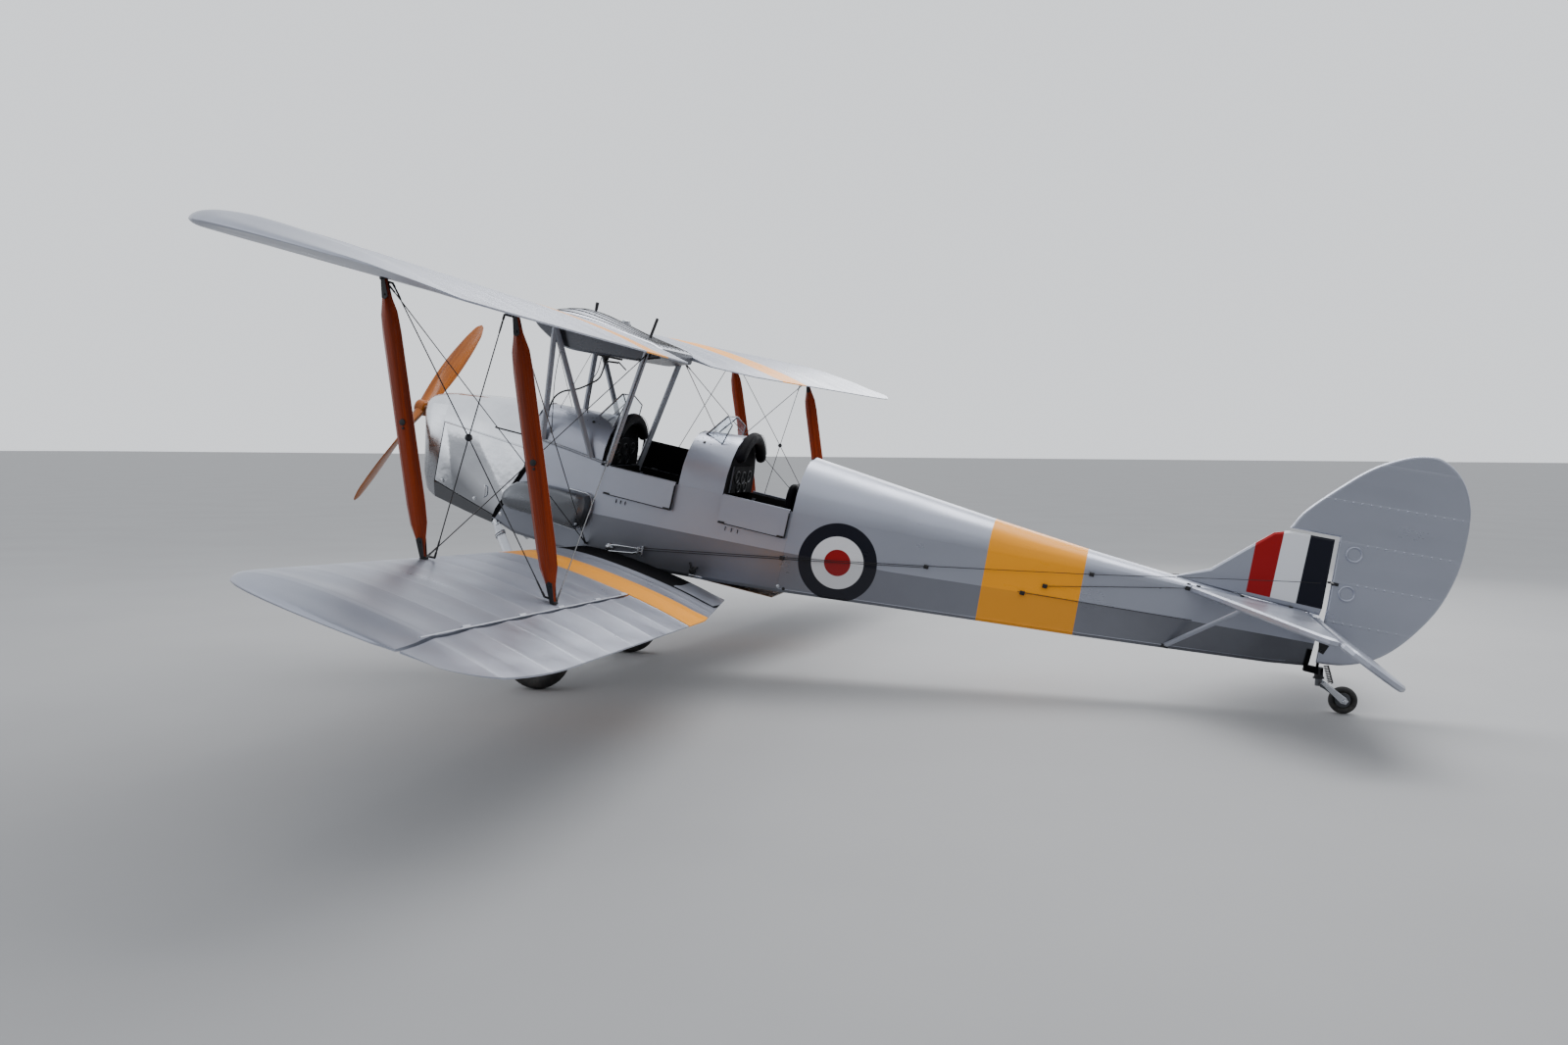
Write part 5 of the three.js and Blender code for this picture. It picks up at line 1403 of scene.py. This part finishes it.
def add_tank_skin():
    """The tank's cover: rings across it, flat below and domed above by one less the square of the share
    across."""
    aft, low, high, dome = dense(TANK, 4).T
    share = np.linspace(-1, 1, 31)
    corner = np.sqrt(1 - np.clip((np.abs(share) - 0.97) / 0.03, 0, 1)**2)
    top = high[:, None] - 0.012 * (1 - corner) + dome[:, None] * (1 - share**2)
    bottom = low[:, None] + 0.012 * (1 - corner)
    left = np.concatenate([share, share[::-1]]) * TANK_HALF
    up = np.concatenate([top, bottom[:, ::-1]], axis=1)
    skin = add_mesh("tank_skin", *capped(place(aft[:, None], left[None], up)), TANK_PAINT)
    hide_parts("fuel_tank")


def add_tank_ribs():
    """Swaged ridges fore and aft over the tank, low tubes that follow its top, and a seam along each side."""
    aft, _, high, dome = dense(TANK, 4).T
    lines = []
    for lane in np.linspace(-0.86, 0.86, 8):
        up = high + dome * (1 - lane**2)
        fine = np.linspace(0.985, 1.930, 40)
        lines.append(place(fine, TANK_HALF * lane, np.interp(fine, aft, up) + 0.0012))
    tubes("tank_swages", lines, 0.0036, (BLACK_STEEL, "silver_tank"))
    fine = np.linspace(0.975, 1.945, 40)
    seams = [place(fine, side * 0.317, np.interp(fine, aft, high) + 0.0005) for side in (1, -1)]
    tubes("tank_seams", seams, 0.003, TANK_PAINT)


def add_tank_top():
    """The filler cap, the gauge's bulb, the vent that leans aft and the peg at the rear."""
    upright = direction(0, 0, 1)
    cap = [(0, CORE), (0, 0.040), (0.010, 0.040), (0.012, 0.030), (0.026, 0.030), (0.030, 0.022),
           (0.031, CORE)]
    add_mesh("filler_cap", *lathe_data(cap, place(1.470, -0.12, 0.930), upright, 24), BRIGHT)
    bulb = [(0, CORE), (0, 0.009), (0.025, 0.009), (0.03, 0.011), (0.05, 0.012), (0.081, 0.013),
            (0.085, 0.008), (0.086, CORE)]
    parts = [lathe_data(bulb, place(1.272, 0, 0.960), upright, 14),
             tube_data(spots([[1.728, 0, 0.862], [1.757, 0, 1.015]]), 0.011, 10),
             tube_data(spots([[1.875, -0.308, 0.800], [1.875, -0.308, 0.838]]), 0.006, 10)]
    add_mesh("gauge_and_vent", *joined(parts), STEEL)


def add_decking_fittings():
    """Black plugs and small screws on the deckings."""
    plugs, screws = [], []
    for aft in (1.509, 2.361):
        for side in (1, -1):
            turn = math.acos(side * 0.200 / float(half_width(aft)))
            centre = deck_point(aft, turn)
            out = deck_point(aft, turn, 0.01) - centre
            plugs.append(stud_data(centre, out, 0.012, 0.004))
            for step, roll in ((-0.05, 0.0), (0.05, 0.03), (0.0, -0.14), (-0.03, -0.14), (0.03, -0.14)):
                screws.append(stud_data(deck_point(aft + step, turn - side * roll), out, 0.0035, 0.002))
    add_mesh("decking_plugs", *joined(plugs), STEEL)
    add_mesh("decking_screws", *joined(screws), (DARK_PLATE, "wire_steel"))


def add_stringers():
    """A stringer under the cloth along each bottom edge of the rear fuselage."""
    edge = side_point(np.linspace(3.13, 6.40, 40), 2.0, -0.0010)
    lines = [mirrored(edge, side) for side in (1, -1)]
    tubes("fuselage_stringers", lines, 0.0026, (FUSELAGE, "silver_dope"))


def add_side_fittings():
    """Low on each side: a black bracket with a bright link behind the lower wing, and two studs further
    back."""
    hub = [(0, CORE), (0, 0.026), (0.006, 0.024), (0.010, 0.014), (0.018, 0.012), (0.020, CORE)]
    dark, bright = [], []
    for side in (1, -1):
        out = direction(0, side, 0)
        lug = mirrored(side_point(2.505, 1.90, 0.003), side)
        dark.append(lathe_data(hub, lug, out, 12))
        for aft, share in ((2.478, 1.70), (2.540, 1.78)):
            arm = np.stack([lug + out * 0.009, mirrored(side_point(aft, share, 0.006), side)])
            dark.append(tube_data(arm, 0.007))
        bright.append(tube_data(mirrored(side_point(np.array([2.490, 2.590]), 2.0, 0.020), side), 0.006))
        bright.append(stud_data(mirrored(side_point(3.125, 1.93, 0.001), side), out, 0.013, 0.007))
        dark.append(stud_data(mirrored(side_point(3.165, 1.98, 0.001), side), out, 0.012, 0.006))
    add_mesh("side_brackets", *joined(dark), STEEL)
    add_mesh("side_links", *joined(bright), BRIGHT)


TANK_STRAP = [[1.470, 0.330, -0.293], [1.584, 0.350, -0.294], [1.641, 0.355, -0.298], [1.672, 0.357, -0.330],
              [1.681, 0.357, -0.404], [1.668, 0.356, -0.470], [1.642, 0.354, -0.530], [1.600, 0.352, -0.563],
              [1.560, 0.350, -0.566], [1.300, 0.330, -0.548]]


def add_oil_tank_rim():
    """The strap round the rear end of the oil tank, and its drain plug."""
    tubes("oil_tank_strap", [spots(dense(TANK_STRAP))], 0.0045, BRIGHT)
    drain = stud_data(place(1.618, 0.425, -0.515), direction(0.2, 1, -0.2), 0.010, 0.005)
    add_mesh("oil_tank_drain", *drain, BRIGHT)


COWL_BUTTONS = [(0.420, 0.248, -0.470), (0.720, 0.268, -0.540), (0.960, 0.286, -0.600)]
COWL_HOOK = [[0.786, 0.276, -0.425], [0.800, 0.288, -0.440], [0.806, 0.289, -0.470], [0.808, 0.288, -0.500],
             [0.795, 0.277, -0.515]]
COWL_ROD = [[0.800, 0.292, 0.010], [0.803, 0.300, 0.010], [1.014, 0.308, 0.006], [1.080, 0.308, 0.004]]


def add_cowl_fittings():
    """Turn buttons and a hook on the cowl sides, and the rod along the top cowl."""
    button = [(0, CORE), (0, 0.014), (0.003, 0.014), (0.004, 0.009), (0.007, 0.008), (0.0075, CORE)]
    for side, hand in HANDS:
        parts = []
        for aft, left, up in COWL_BUTTONS:
            parts.append(lathe_data(button, place(aft, side * left, up), direction(0, side, -0.03), 20))
        parts.append(tube_data(spots(dense(COWL_HOOK), side), 0.004))
        add_mesh(f"cowl_buttons_{hand}", *joined(parts), BRIGHT, f"cowl_side_{hand}")
        tubes(f"cowl_rod_{hand}", [spots(COWL_ROD, side)], 0.006, STEEL)


def add_intake_duct():
    """Dark sheet walls behind the air opening beside the propeller, open to the front."""
    walls = [box_data((0.150, 0.028, -0.345), (0.335, 0.032, -0.085)),
             box_data((0.200, 0.030, -0.090), (0.335, 0.150, -0.086)),
             box_data((0.200, 0.030, -0.345), (0.335, 0.150, -0.341)),
             box_data((0.331, 0.030, -0.343), (0.335, 0.180, -0.088))]
    add_mesh("intake_duct", *joined(walls), CRACKLE)


# Tail details.
RUDDER_EDGE = np.array([
    [6.236, 0.512], [6.303, 0.644], [6.472, 0.840], [6.611, 0.977], [6.759, 1.072], [6.880, 1.116],
    [6.990, 1.114], [7.102, 1.043], [7.180, 0.930], [7.222, 0.790], [7.238, 0.560], [7.222, 0.380],
    [7.171, 0.193], [7.075, 0.011], [6.975, -0.120], [6.870, -0.205], [6.740, -0.262], [6.635, -0.282]])
RUDDER_FRONT = np.array([[6.580, -0.285], [6.562, 0.060], [6.532, 0.520]])
RUDDER_MIDDLE = np.array([6.800, 0.620])
# How far each ring steps in from the edge, and its left.
RUDDER_ROUND = [(0.018, 0.0200), (0.016, 0.0200), (0.007, 0.0165), (0.002, 0.0100), (0.0, 0.0),
                (0.002, -0.0100), (0.007, -0.0165), (0.016, -0.0200), (0.018, -0.0200)]


def add_rudder_skin():
    """The rudder's cover: a smooth curve through its outline, rounded over the edge by rings that step
    inwards as they step to each side, and closed on each side by flat faces that meet at a middle point."""
    edge = np.concatenate([dense(RUDDER_EDGE, 5), RUDDER_FRONT])
    step = unit(np.roll(edge, -1, axis=0) - edge)
    tangent = unit(step + np.roll(step, 1, axis=0))
    inward = np.stack([tangent[:, 1], -tangent[:, 0]], axis=-1)
    middle = np.broadcast_to(RUDDER_MIDDLE, edge.shape)
    flats = [(middle, RUDDER_ROUND[0][1])] + [(edge + inward * inset, left) for inset, left in RUDDER_ROUND]
    flats.append((middle, RUDDER_ROUND[-1][1]))
    rings = [place(ring[:, 0], left, ring[:, 1]) for ring, left in flats]
    faces = grid_faces(len(rings), len(edge), wrap_columns=True).tolist()
    skin = add_mesh("rudder_skin", np.concatenate(rings), faces, RUDDER_CLOTH, "rudder")
    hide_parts("rudder")


# Each rib's up at 6.6 aft, and where its lacing starts and ends.
RUDDER_TAPES = [(0.750, 6.40, 7.19), (0.497, 6.70, 7.20), (0.244, 6.70, 7.14), (-0.009, 6.62, 7.03)]


def add_rudder_details():
    """Two inspection rings on each side of the rudder, and the lacing's knots along its ribs."""
    ring = [(0, CORE), (0, 0.052), (0.008, 0.050), (0.010, 0.045), (0.008, 0.040), (0.003, 0.037),
            (0.0025, CORE)]
    rings, knots = [], []
    for side in (1, -1):
        out = direction(0, side, 0)
        for aft, up in ((6.636, 0.433), (6.650, 0.184)):
            rings.append(lathe_data(ring, place(aft, side * 0.0200, up), out, 40))
        for up, first, last in RUDDER_TAPES:
            for aft in np.arange(first, last, 0.052):
                centre = place(aft, side * 0.0200, up + (aft - 6.6) * RUDDER_LEAN)
                knots.append(stud_data(centre, out, 0.0070, 0.005))
    add_mesh("rudder_rings", *joined(rings), RUDDER_CLOTH, "rudder")
    add_mesh("rudder_lacing", *joined(knots), RUDDER_CLOTH, "rudder")


def add_tail_horns():
    """The horns that the cables pull: bent rods on the rudder, plates with a pin on the elevators."""
    rods, plates = [], []
    for side in (1, -1):
        arm = spots([[6.552, 0.018, 0.228], [6.560, 0.060, 0.226], [6.545, 0.074, 0.224]], side)
        rods.append(tube_data(arm, 0.0075))
        rods.append(box_data((6.556, side * 0.018, 0.217), (6.592, side * 0.023, 0.237)))
        plate = spots([[6.505, 0.285, -0.035], [6.600, 0.285, -0.080], [6.560, 0.285, -0.190],
                       [6.530, 0.285, -0.180]], side)
        plates.append(slab_data(plate, direction(0, side * 0.008, 0)))
        plates.append(tube_data(spots([[6.545, 0.275, -0.172], [6.545, 0.305, -0.172]], side), 0.008))
    add_mesh("rudder_horn", *joined(rods), STEEL, "rudder")
    add_mesh("elevator_horns", *joined(plates), STEEL, "elevators")


def add_tail_lugs():
    """Lugs at the tailplane's struts, and small clips along the top of the stern."""
    lugs = []
    for side in (1, -1):
        lugs.append(box_data((5.645, side * 0.088, -0.412), (5.690, side * 0.106, -0.386)))
        lugs.append(box_data((6.010, side * 0.540, -0.022), (6.070, side * 0.585, -0.014)))
        lugs.append(tube_data(spots([[6.036, 0.545, -0.020], [6.036, 0.580, -0.020]], side), 0.006))
    for aft in (5.72, 5.78, 6.05, 6.35):
        half = float(half_width(aft))
        for side in (1, -1):
            inner = (aft - 0.012, side * (half + 0.004), 0.024)
            outer = (aft + 0.012, side * (half + 0.030), 0.033)
            lugs.append(box_data(inner, outer))
    rounded(add_mesh("tail_lugs", *joined(lugs), STEEL), 0.002)


def from_ground(aft, left, height):
    """Something that stands on the ground: aft of the hub along the ground, left, and its height."""
    aft, left, height = np.broadcast_arrays(*(np.asarray(v, float) for v in (aft, left, height)))
    return np.stack([HUB[0] - aft, left, height], axis=-1)


TAIL_WHEEL = {"aft": 6.549, "up": 0.086, "width": 0.056, "rim": 0.046}
FORK_PLATE = np.array([
    [6.408, 0.196], [6.436, 0.200], [6.560, 0.108], [6.574, 0.086], [6.560, 0.066], [6.530, 0.072]])


def add_tail_spring():
    """The coil behind the stern: p = along its post + 0.0145 (cos t side + sin t other), 11 turns."""
    turns = 11
    t = np.linspace(0, 2 * np.pi * turns, turns * 14)
    low, high = from_ground(6.476, 0, 0.190), from_ground(6.446, 0, 0.300)
    side = np.array([0.0, 1.0, 0.0])
    other = np.cross(unit(high - low), side)
    turning = np.outer(np.cos(t), side) + np.outer(np.sin(t), other)
    coil = low + np.outer(t / t[-1], high - low) + 0.0145 * turning
    tubes("tail_spring", [coil], 0.0036, STEEL, "tail_fork", sides=6)


def add_tail_fork_plates():
    """Plates beside the tail wheel with the nuts of its axle, and the collar that the fork turns in."""
    nut = [(0, CORE), (0, 0.014), (0.008, 0.012), (0.010, CORE)]
    plates = []
    for side in (1, -1):
        outline = from_ground(FORK_PLATE[:, 0], side * 0.048, FORK_PLATE[:, 1])
        plates.append(slab_data(outline, (0, side * 0.005, 0)))
        hub = from_ground(TAIL_WHEEL["aft"], side * 0.056, TAIL_WHEEL["up"])
        plates.append(lathe_data(nut, hub, (0, side, 0), 6))
    rounded(add_mesh("tail_fork_plates", *joined(plates), GEAR_BRIGHT, "tail_fork"), 0.002)
    collar = [(0, CORE), (0, 0.034), (0.010, 0.034), (0.012, 0.027), (0.070, 0.027), (0.072, CORE)]
    add_mesh("swivel_collar", *lathe_data(collar, from_ground(6.404, 0, 0.216), (0, 0, 1), 20), STEEL)


# Wheels and undercarriage.
def tyre_profile(radius, width, rim, grooves):
    """A tyre's section as (along the axle, radius): an oval, with narrow grooves sunk round its tread."""
    t = np.linspace(-np.pi, np.pi, 120)
    middle, deep = (radius + rim) / 2, (radius - rim) / 2
    along, out = width / 2 * np.sin(t), middle + deep * np.cos(t)
    sunk = sum(np.exp(-((along - place_at) / 0.0022)**4) for place_at in grooves)
    return np.stack([along, out - 0.003 * sunk * (np.cos(t) > 0.4)], axis=-1)


WHEEL = {"aft": 1.370, "left": 0.800, "radius": 0.240, "width": 0.170, "rim": 0.120}


def add_tyre(name, node, profile, centre, body, around):
    """A grooved tyre in place of the plain one."""
    tyre = add_mesh(name, *lathe_ring(profile, centre, (0, 1, 0), around), RUBBER, body)
    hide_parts(node)


def wheel_fittings(centre, side):
    """The hub's cap, eight bolts round it, the valve and the rim's bead on a wheel's outer face."""
    out = (0, side, 0)
    cap = [(0, CORE), (0, 0.040), (0.010, 0.038), (0.024, 0.026), (0.027, CORE)]
    bead = [(-0.003, 0.122), (0.003, 0.122), (0.004, 0.128), (0, 0.131), (-0.004, 0.128)]
    parts = [lathe_data(cap, centre + np.array([0, side * 0.064, 0]), out, 28)]
    for turn in np.linspace(0, 2 * np.pi, 8, endpoint=False):
        spot = centre + np.array([0.100 * math.cos(turn), side * 0.0475, 0.100 * math.sin(turn)])
        parts.append(stud_data(spot, out, 0.006, 0.004))
    valve = centre + np.array([[0.112, side * 0.046, 0.0], [0.104, side * 0.066, 0.0]])
    parts.append(tube_data(valve, 0.004))
    parts.append(lathe_ring(bead, centre + np.array([0, side * 0.050, 0]), (0, 1, 0), 64))
    return parts


def add_wheel_details():
    """Grooved tyres on the three wheels, and fittings on the outer faces of the main ones."""
    grooves = (-0.040, -0.024, -0.008, 0.008, 0.024, 0.040)
    profile = tyre_profile(WHEEL["radius"], WHEEL["width"], WHEEL["rim"], grooves)
    for side, hand in HANDS:
        centre = from_ground(WHEEL["aft"], side * WHEEL["left"], WHEEL["radius"])
        body = f"wheel_{hand}"
        add_tyre(f"tyre_{hand}_tread", f"tyre_{hand}", profile, centre, body, 96)
        add_mesh(f"wheel_{hand}_fittings", *joined(wheel_fittings(centre, side)), WHEEL_BRIGHT, body)
    profile = tyre_profile(TAIL_WHEEL["up"], TAIL_WHEEL["width"], TAIL_WHEEL["rim"], (-0.012, 0.0, 0.012))
    centre = from_ground(TAIL_WHEEL["aft"], 0, TAIL_WHEEL["up"])
    add_tyre("tail_tyre_tread", "tail_tyre", profile, centre, "tail_wheel", 64)


def add_gear_details():
    """Two clamp rings on each faired leg, and the sleeve and bolt where it meets the fuselage."""
    parts = []
    for side in (1, -1):
        high = place(0.918, side * 0.268, -0.664)
        low = from_ground(WHEEL["aft"], side * 0.670, WHEEL["radius"])
        along = unit(low - high)
        for share in (0.10, 0.115):
            oval = oval_ring(high + (low - high) * share, along, 0.040, 0.0248)
            parts.append(closed_tube(oval, 0.005))
        sleeve = high + np.array([[0, 0, 0.006]]) + np.outer([0.0, 0.05], along)
        bolt = high + np.array([[-0.03, 0, 0.0], [0.03, 0, 0.0]]) + 0.02 * along
        parts += [tube_data(sleeve, 0.018, 12), tube_data(bolt, 0.009, 10)]
    add_mesh("gear_clamps", *joined(parts), GEAR_BRIGHT)


def oval_ring(centre, along, long, short):
    """An oval across a strut: its long way fore and aft, its short way across."""
    fore = unit(np.cross(along, (0.0, 1.0, 0.0)))
    across = np.cross(fore, along)
    t = np.linspace(0, 2 * np.pi, 40, endpoint=False)
    return centre + long * np.outer(np.cos(t), fore) + short * np.outer(np.sin(t), across)


# Propeller.
# Share of the radius, chord, thickness and angle of the blade.
BLADE = np.array([
    [0.05, 0.096, 0.084, 60], [0.14, 0.112, 0.062, 48], [0.28, 0.138, 0.042, 36], [0.48, 0.158, 0.028, 26],
    [0.68, 0.150, 0.019, 20], [0.86, 0.118, 0.013, 16], [0.95, 0.084, 0.010, 14], [1.00, 0.034, 0.007, 13]])
BLADE_OUTLINE = np.array([
    [-0.5, 0], [-0.3, 0.38], [0, 0.5], [0.3, 0.36], [0.5, 0.05], [0.3, -0.3], [0, -0.4], [-0.3, -0.3]])
PROPELLER = {"radius": 0.965, "lean": math.radians(43.9)}


def blade_data():
    """Two twisted blades: a closed section curve turned by the blade angle and scaled at each station."""
    share = np.concatenate([np.linspace(0.05, 0.86, 26), np.linspace(0.88, 1.0, 9)])
    chord, thick, angle = (curve_through(share, BLADE[:, 0], BLADE[:, k]) for k in (1, 2, 3))
    loop = np.concatenate([BLADE_OUTLINE[-2:], BLADE_OUTLINE, BLADE_OUTLINE[:2]])
    at_knots = np.linspace(2, 10, 33)[:-1]
    c, t = (curve_through(at_knots, np.arange(12.0), loop[:, k]) for k in (0, 1))
    a = np.radians(angle)[:, None]
    c, t = c[None] * chord[:, None], t[None] * thick[:, None]
    x = c * np.sin(a) + t * np.cos(a)
    y = c * np.cos(a) - t * np.sin(a)
    z = np.broadcast_to((share * PROPELLER["radius"])[:, None], x.shape)
    blades = []
    for half_turn in (0, np.pi):
        turn = PROPELLER["lean"] + half_turn
        left, up = y * math.cos(turn) - z * math.sin(turn), y * math.sin(turn) + z * math.cos(turn)
        blades.append(capped(place(-x, left, up)))
    return blades


def add_propeller():
    """The blades and their wooden boss, and the boss plate, shaft and bolts in metal."""
    axis, hub = direction(-1, 0, 0), place(0, 0, 0)
    boss = [(-0.042, CORE), (-0.042, 0.050), (-0.036, 0.060), (0.030, 0.061), (0.037, 0.055), (0.038, CORE)]
    wood = add_mesh("propeller_blades", *joined([*blade_data(), lathe_data(boss, hub, axis, 40)]),
                    PROPELLER_WOOD, "propeller")
    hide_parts("propeller")
    plate = [(0.036, CORE), (0.036, 0.052), (0.042, 0.052), (0.043, 0.026), (0.050, 0.024), (0.058, 0.016),
             (0.059, CORE)]
    bolt = [(0, CORE), (0, 0.007), (0.006, 0.007), (0.007, CORE)]
    metal = [lathe_data(plate, hub, axis, 32), tube_data(spots([[0.02, 0, 0], [0.178, 0, 0]]), 0.0255, 24)]
    for turn in np.linspace(0, 2 * np.pi, 8, endpoint=False):
        spot = place(-0.042, 0.040 * math.cos(turn), 0.040 * math.sin(turn))
        metal.append(lathe_data(bolt, spot, axis, 6))
    add_mesh("propeller_boss", *joined(metal), BRIGHT, "propeller")


add_wing_skins()
add_aileron_gap()
add_cockpit_lining()
add_door_stops()
add_cockpit_floors()
add_instruments()
add_cushion("front", 2.079)
add_cushion("rear", 2.919)
add_back_pad()
add_pads()
add_windscreens()
add_wire_ends()
add_cabane_wires()
add_fuel_cock()
add_control_cables()
add_strut_fittings()
add_door_trims()
add_tank_skin()
add_tank_ribs()
add_tank_top()
add_decking_fittings()
add_stringers()
add_side_fittings()
add_oil_tank_rim()
add_cowl_fittings()
add_intake_duct()
add_rudder_skin()
add_rudder_details()
add_tail_horns()
add_tail_lugs()
add_tail_spring()
add_tail_fork_plates()
add_wheel_details()
add_gear_details()
add_propeller()


# Floor, light and camera.
def add_stage():
    """A plain pale floor under the aircraft."""
    reach = 400.0
    corners = [(-reach, -reach, 0), (reach, -reach, 0), (reach, reach, 0), (-reach, reach, 0)]
    mesh = bpy.data.meshes.new("floor")
    mesh.from_pydata(corners, [], [(0, 1, 2, 3)])
    g = Graph("floor_grey")
    g.set(colour=g.mix(g.noise(0.6, 4.0), colour(0.30, 0.30, 0.305), colour(0.35, 0.35, 0.355)), rough=0.85)
    mesh.materials.append(g.material)
    floor = bpy.data.objects.new("floor", mesh)
    bpy.context.scene.collection.objects.link(floor)


def add_world():
    """A studio dome: white overhead, beyond the aircraft and ahead of it, and dim low down on the camera's
    side."""
    world = bpy.data.worlds.new("studio")
    world.use_nodes = True
    tree = world.node_tree
    back = tree.nodes["Background"]

    def ramp(value, low, high, to_low, to_high):
        node = tree.nodes.new("ShaderNodeMapRange")
        node.interpolation_type = "SMOOTHSTEP"
        tree.links.new(value, node.inputs["Value"])
        node.inputs["From Min"].default_value = low
        node.inputs["From Max"].default_value = high
        for key, level in (("To Min", to_low), ("To Max", to_high)):
            if isinstance(level, float):
                node.inputs[key].default_value = level
            else:
                tree.links.new(level, node.inputs[key])
        return node.outputs["Result"]

    way = tree.nodes.new("ShaderNodeSeparateXYZ")
    tree.links.new(tree.nodes.new("ShaderNodeTexCoord").outputs["Generated"], way.inputs[0])
    near_side = ramp(way.outputs["X"], 0.20, 0.80, 0.24, 2.00)
    low_side = ramp(way.outputs["Y"], -0.05, 0.50, 1.25, near_side)
    light = ramp(way.outputs["Z"], 0.10, 0.70, low_side, 1.25)
    tree.links.new(light, back.inputs["Strength"])
    back.inputs["Color"].default_value = colour(0.93, 0.96, 1.0)
    bpy.context.scene.world = world


def add_light(name, place_at, target, size, power):
    """A soft rectangular lamp that looks at a target."""
    data = bpy.data.lights.new(name, "AREA")
    data.shape = "RECTANGLE"
    data.size, data.size_y = size
    data.energy = power
    lamp = bpy.data.objects.new(name, data)
    lamp.location = place_at
    lamp.rotation_euler = (Vector(target) - Vector(place_at)).to_track_quat("-Z", "Y").to_euler()
    bpy.context.scene.collection.objects.link(lamp)


# The camera as solved from the photograph: place, heading, pitch, roll and focal length in pixels.
CAMERA = {"place": (-1.655, 8.255, 1.622), "heading": -1.29786, "pitch": 0.057990, "roll": 0.0070409,
          "focal": 1240.25, "image_width": 1600}


def add_camera():
    """The camera at the photograph's place, turned by its heading, pitch and roll."""
    heading, pitch, roll = CAMERA["heading"], CAMERA["pitch"], CAMERA["roll"]
    level = math.cos(pitch)
    forward = Vector((math.cos(heading) * level, math.sin(heading) * level, -math.sin(pitch)))
    right = Vector((math.sin(heading), -math.cos(heading), 0))
    above = right.cross(forward)
    level_right = right * math.cos(roll) + above * math.sin(roll)
    level_up = -right * math.sin(roll) + above * math.cos(roll)
    data = bpy.data.cameras.new("camera")
    data.sensor_fit = "HORIZONTAL"
    data.sensor_width = 36.0
    data.lens = 36.0 * CAMERA["focal"] / CAMERA["image_width"]
    data.clip_start, data.clip_end = 0.1, 1500.0
    camera = bpy.data.objects.new("camera", data)
    turn = Matrix((level_right, level_up, -forward)).transposed().to_4x4()
    camera.matrix_world = Matrix.Translation(CAMERA["place"]) @ turn
    bpy.context.scene.collection.objects.link(camera)
    bpy.context.scene.camera = camera


add_stage()
add_world()
add_light("sky_above", (-1.0, -2.5, 8.0), (-0.5, 0.0, 1.0), (10.0, 4.0), 700.0)
add_light("sky_beyond", (-2.0, -9.0, 5.0), (-0.5, 0.0, 1.2), (9.0, 4.0), 420.0)
add_camera()
